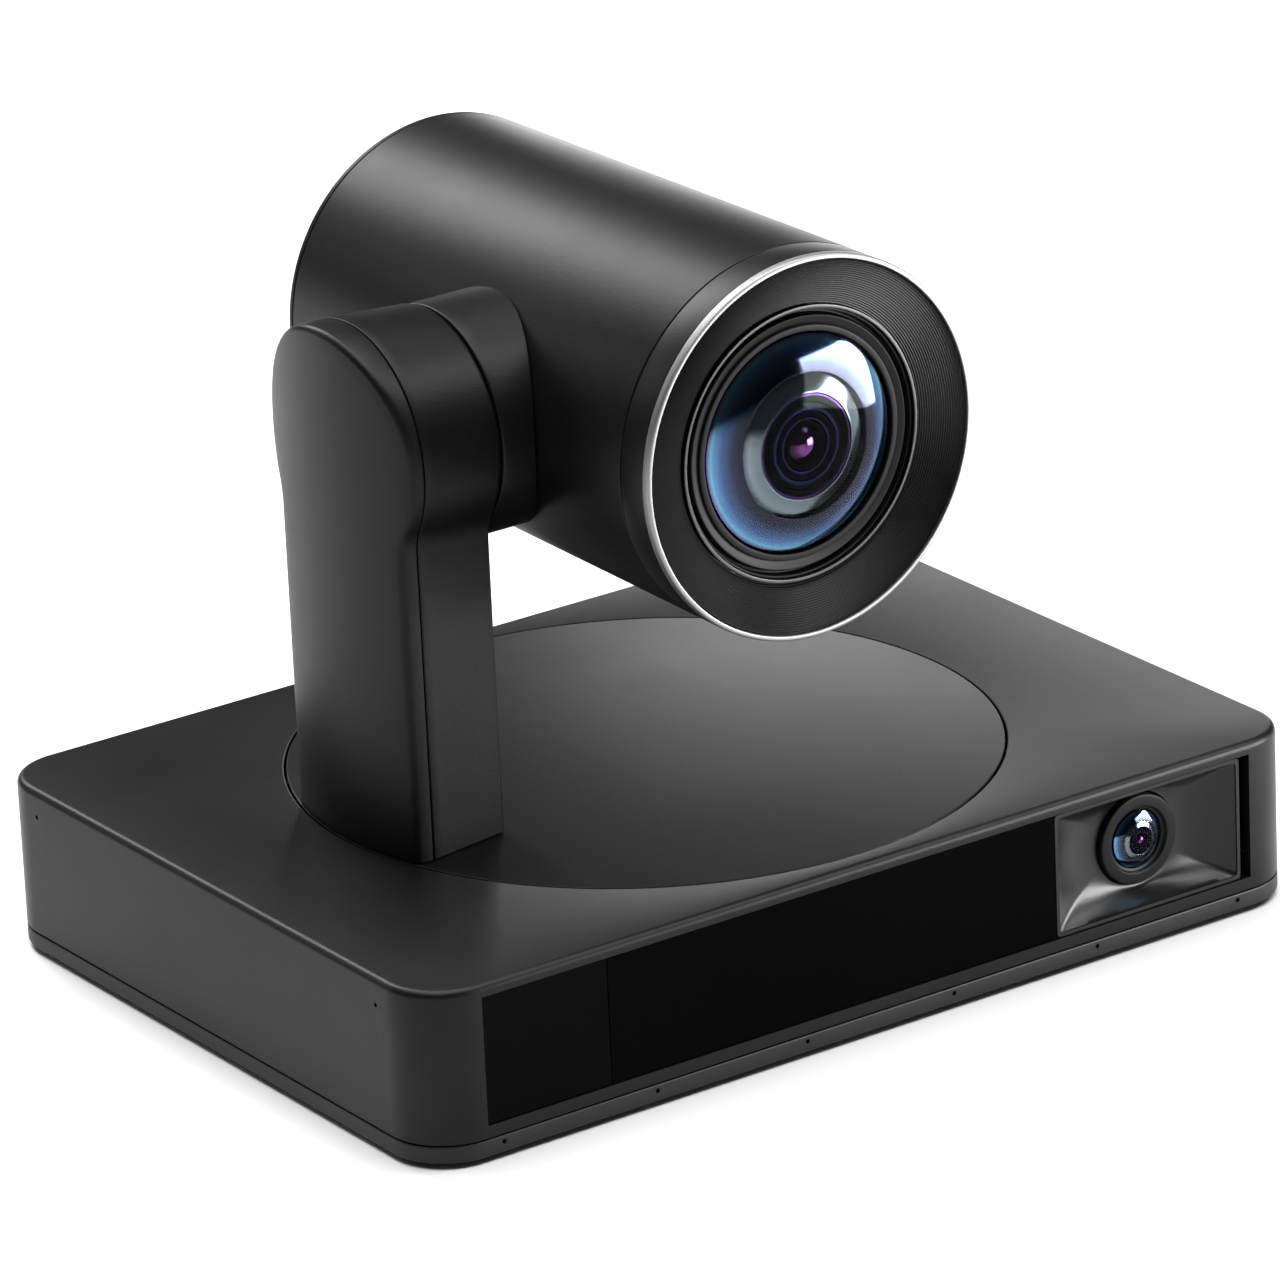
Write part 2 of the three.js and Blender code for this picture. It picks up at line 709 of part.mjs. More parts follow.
function panPieces() {
  const zPulley = zBelt - PULLEY_FLANGE;
  const seatR = panSeatR;
  const xMost = PAN_MOTOR_X + PAN_MOTOR_SIDE / 2 + CHASSIS_EDGE;
  const xLeast = CHASSIS_LEFT;
  const half = CHASSIS_DEPTH / 2;
  const plate = box(xLeast, xMost, -half, half, zChassis, zChassis + CHASSIS_THICK);
  const seat = rod(
    "Z",
    seatR + BEARING_SEAT,
    zChassis + CHASSIS_THICK - GAP,
    zBearing + BEARING_WIDTH,
  );
  const inset = CHASSIS_LEG_INSET;
  const legs = [xLeast + inset, xMost - inset].flatMap((x) =>
    [-half + inset, half - inset].map((y) =>
      rod("Z", CHASSIS_LEG_R, zUnder + COVER_FLOOR + GAP, zChassis + GAP, [x, y, 0], HOLE),
    ),
  );
  const chassis = carve(
    join(plate, seat, ...legs),
    rod("Z", seatR + GAP, zBearing - GAP, zBearing + BEARING_WIDTH + CUT),
    rod("Z", seatR - 2, zChassis - CUT, zBearing + CUT),
    rod("Z", MOTOR_BOSS_R + GAP, zChassis - CUT, zBelt, [PAN_MOTOR_X, 0, 0], 24),
  );
  piece("base_chassis", STEEL, chassis);
  const bore = HUB_STEM_R + GAP;
  piece(
    "pan_bearing",
    STEEL,
    tube("Z", bore, seatR, zBearing, zBearing + BEARING_WIDTH, [0, 0, 0], 24),
  );
  const hub = [
    [HUB_BORE_R, zBearing + GAP],
    [HUB_STEM_R, zBearing + GAP],
    [HUB_STEM_R, zTableUnder - GAP - HUB_FLANGE_THICK],
    [HUB_FLANGE_R, zTableUnder - GAP - HUB_FLANGE_THICK],
    [HUB_FLANGE_R, zTableUnder - GAP],
    [HUB_BORE_R, zTableUnder - GAP],
  ];
  piece("pan_hub", ALUMINIUM, turned("Z", hub, [0, 0, 0], 24));
  piece("pan_pulley", BAND, turned("Z", pulleyProfile(bore, PAN_PULLEY_R, zPulley)));
  const inner = beltLine(PAN_PULLEY_R + GAP, MOTOR_PULLEY_R + GAP, PAN_MOTOR_X);
  const outer = beltLine(
    PAN_PULLEY_R + BELT_THICK,
    MOTOR_PULLEY_R + BELT_THICK,
    PAN_MOTOR_X,
  );
  piece("pan_belt", RUBBER, extruded("Z", outer, zBelt, zBelt + BELT_WIDTH, inner));

  const side = PAN_MOTOR_SIDE / 2;
  const centre = [PAN_MOTOR_X, 0, 0];
  const motor = carve(
    join(
      box(
        PAN_MOTOR_X - side,
        PAN_MOTOR_X + side,
        -side,
        side,
        zChassis - GAP - MOTOR_LENGTH,
        zChassis - GAP,
      ),
      rod("Z", MOTOR_BOSS_R, zChassis - CUT, zChassis + CHASSIS_THICK, centre, SMALL),
    ),
    rod("Z", MOTOR_SHAFT_R + GAP, zChassis - SHAFT_SINK, zBelt, centre, 12),
  );
  piece("pan_motor", MOTOR, motor);
  const zShaftEnd = zPulley + PULLEY_WIDTH + 1;
  const shaft = rod("Z", MOTOR_SHAFT_R, zChassis - SHAFT_SINK + GAP, zShaftEnd, centre, 12);
  const pulley = turned("Z", pulleyProfile(MOTOR_SHAFT_R - 1, MOTOR_PULLEY_R, zPulley), centre, SMALL);
  piece("pan_motor_rotor", STEEL, join(shaft, pulley));
}

// ---------------------------------------------------------------- turntable and arm
const ARM_SCREW_X = (xArmInner + xArmSeam) / 2;
const ARM_SCREW_Y = 10;
const ARM_SCREW_REACH = 4; // past the underside of the frame
const ARM_SCREW_HEAD = 2;
const ARM_CABLE_HOLE_R = 4;
const FRAME_THICK = 2;
const ARM_FRAME_SETBACK = 2; // from the seam to the foot of the frame
const FRAME_HALF_WIDTH = 17;
const FRAME_EYE_WALL = 3; // round the bearing seat
const xFrame = xArmInner - ARM_WALL - GAP - FRAME_THICK; // outer face of the arm's inner frame
const tiltSeatR = TILT_SHAFT_R + GAP + BEARING_RING;

// The arm's side outline in [y, z]: a straight foot, a waist and a round top.
function armOutline(topR, halfWidth, inset = 0, zFoot = zArmFoot) {
  const r = topR - inset;
  const w = halfWidth - inset;
  const waist = ARM_WAIST_R + inset;
  const drop = Math.sqrt((r + waist) ** 2 - (w + waist) ** 2);
  const lean = THREE.MathUtils.radToDeg(Math.atan2(drop, w + waist));
  return [
    [-w, zFoot],
    [w, zFoot],
    ...arc(w + waist, zTilt - drop, waist, 180, 180 - lean, 4),
    ...arc(0, zTilt, r, -lean, 180 + lean, 20),
    ...arc(-w - waist, zTilt - drop, waist, lean, 0, 4),
  ];
}

function armPieces() {
  const zFloor = zArmFoot + ARM_WALL;
  const outer = lofted(
    "X",
    armOutline(ARM_TOP_R, ARM_HALF_WIDTH),
    xArmSeam,
    armOutline(ARM_INNER_TOP_R, ARM_INNER_HALF_WIDTH),
    xArmInner,
  );
  const seamCut = xArmSeam - CUT;
  const hollow = lofted(
    "X",
    armOutline(ARM_TOP_R, ARM_HALF_WIDTH, ARM_WALL, zFloor),
    seamCut,
    armOutline(ARM_INNER_TOP_R, ARM_INNER_HALF_WIDTH, ARM_WALL, zFloor),
    xArmInner - ARM_WALL,
  );
  const tiltAxis = [0, 0, zTilt];
  const screwAxes = [-1, 1].map((s) => [ARM_SCREW_X, s * ARM_SCREW_Y, 0]);
  const screwHoles = (z0, z1) =>
    screwAxes.map((at) => rod("Z", SCREW_SHANK_R + GAP, z0, z1, at, HOLE));
  const cableHole = (z0, z1) => rod("Z", ARM_CABLE_HOLE_R, z0, z1, [ARM_SCREW_X, 0, 0], SMALL);
  const housing = carve(
    outer,
    hollow,
    rod("X", tiltSeatR + GAP, xArmInner - ARM_WALL - CUT, xArmInner + CUT, tiltAxis, ROUND),
    cableHole(zArmFoot - CUT, zFloor + CUT),
    ...screwHoles(zArmFoot - CUT, zFloor + CUT),
  );
  piece("arm_housing", SATIN, housing);

  const xCover = xArmSeam - GAP;
  const xOut = -TURNTABLE_R - CUT;
  const bulge = (r) => rod("Z", r, zArmFoot - CUT, zTilt + ARM_TOP_R + CUT, [0, 0, 0], FINE);
  const cover = carve(
    extruded("X", armOutline(ARM_TOP_R, ARM_HALF_WIDTH), xOut, xCover).intersect(
      bulge(TURNTABLE_R),
    ),
    extruded(
      "X",
      armOutline(ARM_TOP_R, ARM_HALF_WIDTH, ARM_WALL, zFloor),
      xOut,
      xCover + CUT,
    ).intersect(bulge(TURNTABLE_R - ARM_WALL)),
  );
  piece("arm_outer_cover", SATIN, cover);

  piece(
    "turntable",
    SATIN,
    carve(
      rod("Z", TURNTABLE_R, zTableUnder, zTop, [0, 0, 0], FINE),
      ...screwHoles(zTableUnder - CUT, zTop + CUT),
      cableHole(zTableUnder - CUT, zTop + CUT),
    ),
  );
  const zFrame = zFloor + GAP;
  const half = FRAME_HALF_WIDTH;
  const frame = carve(
    join(
      box(xFrame, xFrame + FRAME_THICK, -half, half, zFrame, zTilt),
      rod("X", tiltSeatR + FRAME_EYE_WALL, xFrame, xFrame + FRAME_THICK, tiltAxis, ROUND),
      box(xArmSeam + ARM_FRAME_SETBACK, xFrame + CUT, -half, half, zFrame, zFrame + FRAME_THICK),
    ),
    rod("X", tiltSeatR + GAP, xFrame - CUT, xFrame + FRAME_THICK + CUT, tiltAxis, ROUND),
    ...screwHoles(zFrame - CUT, zFrame + FRAME_THICK + CUT),
    cableHole(zFrame - CUT, zFrame + FRAME_THICK + CUT),
  );
  piece("arm_frame", STEEL, frame);
  const zScrewHead = zTableUnder - GAP - ARM_SCREW_HEAD;
  screwAxes.forEach((at, i) => {
    const screw = join(
      rod("Z", SCREW_SHANK_R, zTableUnder - CUT, zFrame + ARM_SCREW_REACH, at, HOLE),
      rod("Z", SCREW_HEAD_R, zScrewHead, zTableUnder - GAP, at, HOLE),
    );
    piece("arm_screw_" + (i + 1), STEEL, screw);
  });
}

// ---------------------------------------------------------------- tilt drive
const xTiltBearing = xArmInner - BEARING_WIDTH - 0.4;
const xTiltBelt = xArmSeam - 0.2; // outer face of the tilt belt
const xTiltPulley = xTiltBelt - PULLEY_FLANGE;
const SHAFT_LEAD = 0.6; // how far a shaft stands out of its pulley

function tiltDrivePieces() {
  const tiltAxis = [0, 0, zTilt];
  const motorAxis = [0, 0, zTiltMotor];
  const bore = TILT_SHAFT_R + GAP;
  const bearingEnd = xTiltBearing + BEARING_WIDTH;
  piece(
    "tilt_bearing",
    STEEL,
    tube("X", bore, tiltSeatR, xTiltBearing, bearingEnd, tiltAxis, 24),
  );
  piece(
    "tilt_pulley",
    BAND,
    turned("X", pulleyProfile(bore, TILT_PULLEY_R, xTiltPulley), tiltAxis, 24),
  );
  // The belt runs from the tilt axis down to the motor, so its line's u axis points down.
  const down = (line) => line.map(([u, v]) => [v, zTilt - u]);
  const inner = down(
    beltLine(TILT_PULLEY_R + GAP, TILT_MOTOR_PULLEY_R + GAP, TILT_MOTOR_DROP),
  );
  const outer = down(
    beltLine(
      TILT_PULLEY_R + BELT_THICK,
      TILT_MOTOR_PULLEY_R + BELT_THICK,
      TILT_MOTOR_DROP,
    ),
  );
  piece("tilt_belt", RUBBER, extruded("X", outer, xTiltBelt, xTiltBelt + BELT_WIDTH, inner));

  const side = TILT_MOTOR_SIDE / 2;
  const xFace = xFrame - GAP;
  const xBack = xTiltPulley + PULLEY_WIDTH + MOTOR_CLEARANCE;
  const motor = carve(
    box(xBack, xFace, -side, side, zTiltMotor - side, zTiltMotor + side),
    rod("X", MOTOR_SHAFT_R + GAP, xBack - CUT, xFace - TILT_SHAFT_SINK, motorAxis, 12),
  );
  piece("tilt_motor", MOTOR, motor);
  const xShaftEnd = xFace - TILT_SHAFT_SINK - GAP;
  const shaft = rod("X", MOTOR_SHAFT_R, xTiltPulley - SHAFT_LEAD, xShaftEnd, motorAxis, 12);
  const pulley = turned(
    "X",
    pulleyProfile(MOTOR_SHAFT_R - 1, TILT_MOTOR_PULLEY_R, xTiltPulley),
    motorAxis,
    SMALL,
  );
  piece("tilt_motor_rotor", STEEL, join(shaft, pulley));
}

// ---------------------------------------------------------------- head
const headAxis = [xHead, 0, zTilt];
const neckAxis = [0, 0, zTilt];
const yRim = -BARREL_FRONT;
const yBezelSeam = yRim + BEZEL_LENGTH;
const FLANGE_R = 14; // of the tilt shaft, screwed to the neck
const FLANGE_THICK = 2;
const SENSOR_BOARD_HALF = 22;
const CABLE_HOLE_R = 6;

// The barrel's outer radius at a distance along Y.
function barrelR(y) {
  const share = (y - yRim) / (BARREL_REAR + BARREL_FRONT);
  return BARREL_FRONT_R + (BARREL_REAR_R - BARREL_FRONT_R) * share;
}

function casingOfHead() {
  const yShell = yBezelSeam + GAP;
  const yEnd = BARREL_REAR - REAR_CAP_THICK;
  const shell = turned(
    "Y",
    [
      [barrelR(yShell) - BARREL_WALL, yShell],
      [barrelR(yShell), yShell],
      [barrelR(yEnd), yEnd],
      [barrelR(yEnd) - BARREL_WALL, yEnd],
    ],
    headAxis,
    FINE,
  );
  const cableHole = rod(
    "X",
    CABLE_HOLE_R,
    xHead - BARREL_FRONT_R - CUT,
    xHead - BARREL_REAR_R + BARREL_WALL + CUT,
    neckAxis,
    SMALL,
  );
  piece("barrel_shell", SATIN, carve(shell, cableHole));

  const capR = barrelR(BARREL_REAR);
  const spigotR = barrelR(yEnd) - BARREL_WALL - GAP;
  const cap = [
    [0, BARREL_REAR],
    [capR - 1.6, BARREL_REAR],
    [capR - 0.5, BARREL_REAR - 0.5],
    [capR, BARREL_REAR - 1.6],
    [barrelR(yEnd + GAP), yEnd + GAP],
    [spigotR, yEnd + GAP],
    [spigotR, yEnd - 4],
    [spigotR - 1.6, yEnd - 4],
    [spigotR - 1.6, yEnd + GAP + 0.6],
    [0, yEnd + GAP + 0.6],
  ];
  piece("barrel_rear_cap", SATIN, turned("Y", cap, headAxis, FINE));

  const yBezel = yRim + RIM_LENGTH + GAP;
  const bezel = [
    [BARREL_FRONT_R - BARREL_WALL, yBezel],
    [barrelR(yBezel), yBezel],
    [barrelR(yBezelSeam), yBezelSeam],
    [barrelR(yBezelSeam) - BARREL_WALL - 1, yBezelSeam],
    [BARREL_FRONT_R - BARREL_WALL - 1, yBezelSeam - 1],
    [BARREL_FRONT_R - BARREL_WALL, yBezelSeam - 3],
  ];
  piece("front_bezel", SATIN, turned("Y", bezel, headAxis, FINE));
  const rim = [
    [BARREL_FRONT_R - RIM_WALL, yRim],
    [BARREL_FRONT_R - 0.9, yRim],
    [BARREL_FRONT_R, yRim + 1.2],
    [BARREL_FRONT_R, yRim + RIM_LENGTH],
    [BARREL_FRONT_R - RIM_WALL, yRim + RIM_LENGTH],
  ];
  piece("bezel_rim", ALUMINIUM, turned("Y", rim, headAxis, FINE));

  const xNeck = xArmInner + NECK_GAP;
  const neck = tube("X", NECK_R - NECK_WALL, NECK_R, xNeck, xHead - NECK_REACH, neckAxis, FINE);
  const endWall = carve(
    rod("X", NECK_R, xNeck, xNeck + NECK_END_WALL, neckAxis, FINE),
    rod("X", TILT_SHAFT_R + GAP, xNeck - CUT, xNeck + NECK_END_WALL + CUT, neckAxis, SMALL),
  );
  const barrelTool = turned(
    "Y",
    [
      [0, yRim],
      [barrelR(yRim) + GAP, yRim],
      [barrelR(BARREL_REAR) + GAP, BARREL_REAR],
      [0, BARREL_REAR],
    ],
    headAxis,
    FINE,
  );
  piece("neck_collar", SATIN, carve(join(neck, endWall), barrelTool));
  const xFlange = xNeck + NECK_END_WALL + GAP;
  const shaft = [
    [TILT_SHAFT_R - TILT_SHAFT_WALL, xTiltPulley - SHAFT_LEAD],
    [TILT_SHAFT_R, xTiltPulley - SHAFT_LEAD],
    [TILT_SHAFT_R, xFlange],
    [FLANGE_R, xFlange],
    [FLANGE_R, xFlange + FLANGE_THICK],
    [TILT_SHAFT_R - TILT_SHAFT_WALL, xFlange + FLANGE_THICK],
  ];
  piece("tilt_shaft", STEEL, turned("X", shaft, neckAxis, SMALL));
}

const yGlassEdge = yRim + HOOD_DEPTH + 1;
const yGlassBack = yGlassEdge + FRONT_GLASS_THICK;
const yTube = yGlassEdge - 0.6;
const tubeR = FRONT_GLASS_R + GAP + LENS_TUBE_WALL;
const yTubeEnd = yTube + LENS_TUBE_LENGTH;

function opticsPieces() {
  const yHood = yRim + HOOD_SETBACK;
  const hoodR = BARREL_FRONT_R - RIM_WALL - GAP;
  const seatR = BARREL_FRONT_R - BARREL_WALL - GAP;
  const hoodInR = RETAINER_R + GAP;
  const ySeat = yRim + RIM_LENGTH;
  const hood = [
    [hoodR, yHood],
    [hoodInR, yHood + HOOD_DEPTH],
    [hoodInR, yHood + HOOD_DEPTH + 2],
    [seatR, ySeat + 3],
    [seatR, ySeat],
    [hoodR, ySeat],
  ];
  piece("hood_ring", OPTIC_BLACK, turned("Y", hood, headAxis, FINE));
  const yRing = yRim + HOOD_DEPTH - 0.6;
  const glassSeat = FRONT_GLASS_R + GAP;
  const retainer = [
    [RETAINER_R, yRing],
    [RETAINER_R, yRing + RETAINER_LENGTH],
    [tubeR + GAP, yRing + RETAINER_LENGTH],
    [tubeR + GAP, yTube - GAP],
    [glassSeat, yTube - GAP],
    [glassSeat, yTube - GAP - 0.6],
    [RETAINER_R - 1.4, yRing + 0.6],
    [RETAINER_R - 0.8, yRing],
  ];
  piece("lens_retainer", OPTIC_BLACK, turned("Y", retainer, headAxis, FINE));

  const steps = 8;
  const dome = Array.from({ length: steps + 1 }, (_, i) => {
    const r = (FRONT_GLASS_R * i) / steps;
    return [r, yGlassEdge - FRONT_GLASS_RISE * (1 - (r / FRONT_GLASS_R) ** 2)];
  });
  const glass = [...dome, [FRONT_GLASS_R, yGlassBack], [0, yGlassBack]];
  piece("front_glass", GLASS, turned("Y", glass, headAxis));
  piece(
    "lens_tube",
    OPTIC_BLACK,
    tube("Y", tubeR - LENS_TUBE_WALL, tubeR, yTube, yTubeEnd, headAxis),
  );
  const coneR = FRONT_GLASS_R;
  const yCone = yGlassBack + GAP;
  const cone = [
    [coneR, yCone],
    [coneR, yCone + LENS_CONE_LENGTH],
    [12, yCone + LENS_CONE_LENGTH],
    [12, yCone + 11],
    [19, yCone + 6],
    [20, yCone + 3.4],
    [coneR - 1.4, yCone],
  ];
  piece("lens_cone", OPTIC_BLACK, turned("Y", cone, headAxis));
  const yInner = yCone + LENS_CONE_LENGTH + GAP;
  const inner = [
    [0, yInner - 2.4],
    [6, yInner - 1.8],
    [11.6, yInner],
    [coneR - 1, yInner],
    [coneR - 1, yInner + SECOND_LENS_THICK],
    [0, yInner + SECOND_LENS_THICK],
  ];
  piece("second_lens", GLASS, turned("Y", inner, headAxis));
  // A lens group in its cell: a glass disc in a carrier that slides in the tube.
  const group = (r, y, width) => [
    [0, y + width * 0.2],
    [r * 0.7, y],
    [r, y],
    [r, y + width],
    [r * 0.7, y + width],
    [0, y + width * 0.7],
  ];
  const carrierR = tubeR - LENS_TUBE_WALL - GAP;
  const yZoom = yInner + SECOND_LENS_THICK + 2;
  const ZOOM_WIDTH = 8;
  const ZOOM_TRAVEL = 14;
  piece("zoom_group", OPTIC_BLACK, turned("Y", group(carrierR, yZoom, ZOOM_WIDTH), headAxis));
  const yFocus = yZoom + ZOOM_WIDTH + ZOOM_TRAVEL + 1;
  const FOCUS_WIDTH = 6;
  piece(
    "focus_group",
    OPTIC_BLACK,
    turned("Y", group(carrierR, yFocus, FOCUS_WIDTH), headAxis),
  );
  const ySensor = yTubeEnd + GAP;
  piece(
    "sensor_board",
    BOARD,
    box(
      xHead - SENSOR_BOARD_HALF,
      xHead + SENSOR_BOARD_HALF,
      ySensor,
      ySensor + BOARD_THICK,
      zTilt - SENSOR_BOARD_HALF,
      zTilt + SENSOR_BOARD_HALF,
    ),
  );
  const yCradle = yTube + CRADLE_SETBACK;
  const cradleR = barrelR(yCradle) - BARREL_WALL - 2 * GAP;
  const cradle = tube("Y", tubeR + GAP, cradleR, yCradle, yCradle + CRADLE_THICK, headAxis);
  piece("lens_cradle", STEEL, cradle);
}

casingPieces();
frontPieces();
portPieces();
panPieces();
armPieces();
tiltDrivePieces();
casingOfHead();
opticsPieces();

// ---------------------------------------------------------------- scene graph
// A manifold-3d solid as a three.js geometry.
function geometryOf(shape) {
  const mesh = shape.getMesh();
  const geometry = new THREE.BufferGeometry();
  const flat = new Float32Array(mesh.numVert * 3);
  for (let i = 0; i < mesh.numVert; i++)
    flat.set(mesh.vertProperties.subarray(i * mesh.numProp, i * mesh.numProp + 3), i * 3);
  geometry.setAttribute("position", new THREE.BufferAttribute(flat, 3));
  geometry.setIndex(new THREE.BufferAttribute(new Uint32Array(mesh.triVerts), 1));
  geometry.computeVertexNormals();
  return geometry;
}

const camera = new THREE.Group();
for (const { name, material, shape } of pieces) {
  const mesh = new THREE.Mesh(geometryOf(shape), material);
  mesh.name = name;
  camera.add(mesh);
}

export default camera;
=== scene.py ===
# %% [markdown]
# # A conference camera with a pan-tilt head
# The object is a flat base with a wide-angle camera in its front, a turntable, an arm, and a
# barrel-shaped zoom camera that tilts on the arm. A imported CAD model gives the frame: its nodes,
# bodies and joints. Here each visible casing gets a fine surface, and every piece gets a finish.

import json
import math

import bmesh
import bpy
import numpy as np
from mathutils import Matrix, Vector


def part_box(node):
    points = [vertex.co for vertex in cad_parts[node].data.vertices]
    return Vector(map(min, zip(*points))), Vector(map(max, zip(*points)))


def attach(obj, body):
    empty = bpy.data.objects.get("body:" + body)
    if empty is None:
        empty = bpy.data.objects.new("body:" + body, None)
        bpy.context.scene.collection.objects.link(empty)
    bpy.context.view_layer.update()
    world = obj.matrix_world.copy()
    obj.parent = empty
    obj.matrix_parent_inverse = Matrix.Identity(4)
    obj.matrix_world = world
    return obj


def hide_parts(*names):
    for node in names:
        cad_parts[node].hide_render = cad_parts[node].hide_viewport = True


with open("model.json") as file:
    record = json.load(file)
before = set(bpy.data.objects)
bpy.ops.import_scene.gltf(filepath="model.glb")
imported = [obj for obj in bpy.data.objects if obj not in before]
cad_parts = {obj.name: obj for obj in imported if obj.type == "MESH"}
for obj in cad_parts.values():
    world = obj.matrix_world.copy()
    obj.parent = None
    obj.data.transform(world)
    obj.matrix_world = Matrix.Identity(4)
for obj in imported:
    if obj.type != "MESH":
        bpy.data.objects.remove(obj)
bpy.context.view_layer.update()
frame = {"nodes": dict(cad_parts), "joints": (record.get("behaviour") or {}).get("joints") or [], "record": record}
MM = 0.001

# %% [markdown]
# ## The camera
# A product picture is taken from far away with a long lens, so that parallel edges stay nearly
# parallel. The camera looks at the middle of the object, from its left front and a little above.

# %% Camera
CAMERA_AZIMUTH = -34.27
CAMERA_ELEVATION = 21.16
CAMERA_ROLL = -2.58
CAMERA_DISTANCE = 2.0698
CAMERA_LENS = 238.14
AIM = Vector((0.0, 0.0, 0.0812))
AIM_OFFSET = (0.0002, -0.0075)  # how far the view's centre lies from the aim, across and up


def camera_axes(azimuth, elevation, roll):
    """Right, up and backward directions of a camera, from three angles in degrees."""
    a, e, r = (math.radians(v) for v in (azimuth, elevation, roll))
    back = Vector((math.sin(a) * math.cos(e), -math.cos(a) * math.cos(e), math.sin(e)))
    right = (-back).cross(Vector((0, 0, 1))).normalized()
    up = right.cross(-back)
    turned_right = right * math.cos(r) + up * math.sin(r)
    turned_up = up * math.cos(r) - right * math.sin(r)
    return turned_right, turned_up, back


def add_camera():
    right, up, back = camera_axes(CAMERA_AZIMUTH, CAMERA_ELEVATION, CAMERA_ROLL)
    data = bpy.data.cameras.new("camera")
    data.lens = CAMERA_LENS
    data.sensor_width = 36.0
    data.clip_end = 50.0
    camera = bpy.data.objects.new("camera", data)
    place = AIM + back * CAMERA_DISTANCE + right * AIM_OFFSET[0] + up * AIM_OFFSET[1]
    camera.matrix_world = Matrix.Translation(place) @ Matrix(
        (right, up, back)
    ).transposed().to_4x4()
    bpy.context.scene.collection.objects.link(camera)
    bpy.context.scene.camera = camera
    return camera


camera = add_camera()
print("camera at", [round(v, 3) for v in camera.matrix_world.translation])

# %% [markdown]
# ## From numbers to a mesh
# Every casing is a grid of points: one parameter runs round the piece, the other along its
# profile. The whole grid is one numpy array, so a shape is a formula and not a list of clicks.
# The first helper joins neighbouring rows and columns with quads.

# %% Grid to mesh
MERGE_DISTANCE = 1e-7  # metres; closes seams and poles
TINY_EDGE = 1e-8
SHARP_ANGLE = math.radians(32.0)  # a steeper edge between two faces stays sharp


def grid_faces(rows, columns, closed_rows, closed_columns):
    """Quads between neighbours of a rows by columns grid, as an array of four indices a face."""
    i = np.arange(rows if closed_rows else rows - 1)
    j = np.arange(columns if closed_columns else columns - 1)
    i, j = (a.ravel() for a in np.meshgrid(i, j, indexing="ij"))
    i_next = (i + 1) % rows
    j_next = (j + 1) % columns
    corner = [i * columns + j, i * columns + j_next, i_next * columns + j_next]
    return np.stack([*corner, i_next * columns + j], axis=1)


def mesh_piece(name, vertices, faces):
    """A mesh object from vertex and face arrays, with doubles merged and faces turned outwards."""
    mesh = bpy.data.meshes.new(name)
    mesh.from_pydata(vertices.reshape(-1, 3).tolist(), [], faces.tolist())
    work = bmesh.new()
    work.from_mesh(mesh)
    bmesh.ops.remove_doubles(work, verts=work.verts, dist=MERGE_DISTANCE)
    bmesh.ops.dissolve_degenerate(work, edges=work.edges, dist=TINY_EDGE)
    bmesh.ops.recalc_face_normals(work, faces=work.faces)
    if work.calc_volume(signed=True) < 0:
        bmesh.ops.reverse_faces(work, faces=work.faces)
    work.to_mesh(mesh)
    work.free()
    piece = bpy.data.objects.new(name, mesh)
    bpy.context.scene.collection.objects.link(piece)
    return piece


def shade(piece):
    """Smooth shading, kept sharp where two faces meet at more than the sharp angle."""
    mesh = piece.data
    mesh.polygons.foreach_set("use_smooth", np.ones(len(mesh.polygons), dtype=bool))
    mesh.set_sharp_from_angle(angle=SHARP_ANGLE)
    return piece


def loop_piece(name, grid):
    """A closed piece from a grid whose rows and columns both close on themselves."""
    rows, columns = grid.shape[:2]
    return shade(mesh_piece(name, grid, grid_faces(rows, columns, True, True)))


# %% [markdown]
# A turned piece is a profile carried round an axis. Real moulded and turned parts have no
# knife-sharp corners, so each corner of a profile can be rounded. The rounding is an arc that
# touches both lines, and it catches the thin highlight that shows where a part ends.

# %% Rounded profiles and turned pieces
FILLET_STEPS = 5


def rounded(profile, closed=True):
    """A profile of (a, b, radius) corners in millimetres, with each corner made an arc."""
    corners = np.array(profile, dtype=float)
    out = []
    for k, (a, b, radius) in enumerate(corners):
        here = np.array([a, b])
        at_end = not closed and k in (0, len(corners) - 1)
        if radius <= 0 or at_end:
            out.append(here[None])
            continue
        before = corners[k - 1, :2] - here
        after = corners[(k + 1) % len(corners), :2] - here
        before /= np.linalg.norm(before)
        after /= np.linalg.norm(after)
        half = 0.5 * math.acos(np.clip(before @ after, -1, 1))
        start = here + before * radius / math.tan(half)
        middle = before + after
        centre = here + middle / np.linalg.norm(middle) * radius / math.sin(half)
        sweep = math.pi - 2 * half
        turn = math.copysign(1, np.cross(start - centre, here - start))
        t = np.linspace(0, sweep, FILLET_STEPS + 1)[:, None] * turn
        spoke = start - centre
        side = np.array([-spoke[1], spoke[0]])
        out.append(centre + spoke * np.cos(t) + side * np.sin(t))
    return np.concatenate(out)


def turned(name, profile, axis, centre, sides=128, closed=True):
    """A profile of (radius, along) points turned about X, Y or Z: centre plus radius times the
    circle's cosine and sine across the axis, plus the second value along it."""
    line = rounded(profile, closed) * MM
    t = np.linspace(0, 2 * np.pi, sides, endpoint=False)
    radius, along = line[:, :1], line[:, 1:]
    first = radius * np.cos(t)
    second = radius * np.sin(t)
    third = along + 0 * t
    order = {"X": (third, first, second), "Y": (first, third, second), "Z": (first, second, third)}
    grid = np.stack(order[axis], axis=-1) + np.array(centre)
    faces = grid_faces(len(line), sides, closed, True)
    return shade(mesh_piece(name, grid, faces))


# %% [markdown]
# Round holes and the front window are cut with a Boolean modifier, as a mould's core leaves them.
# The modifier is applied at once, so that the finished piece is one plain mesh.

# %% Cutting
DRILL_SIDES = 24


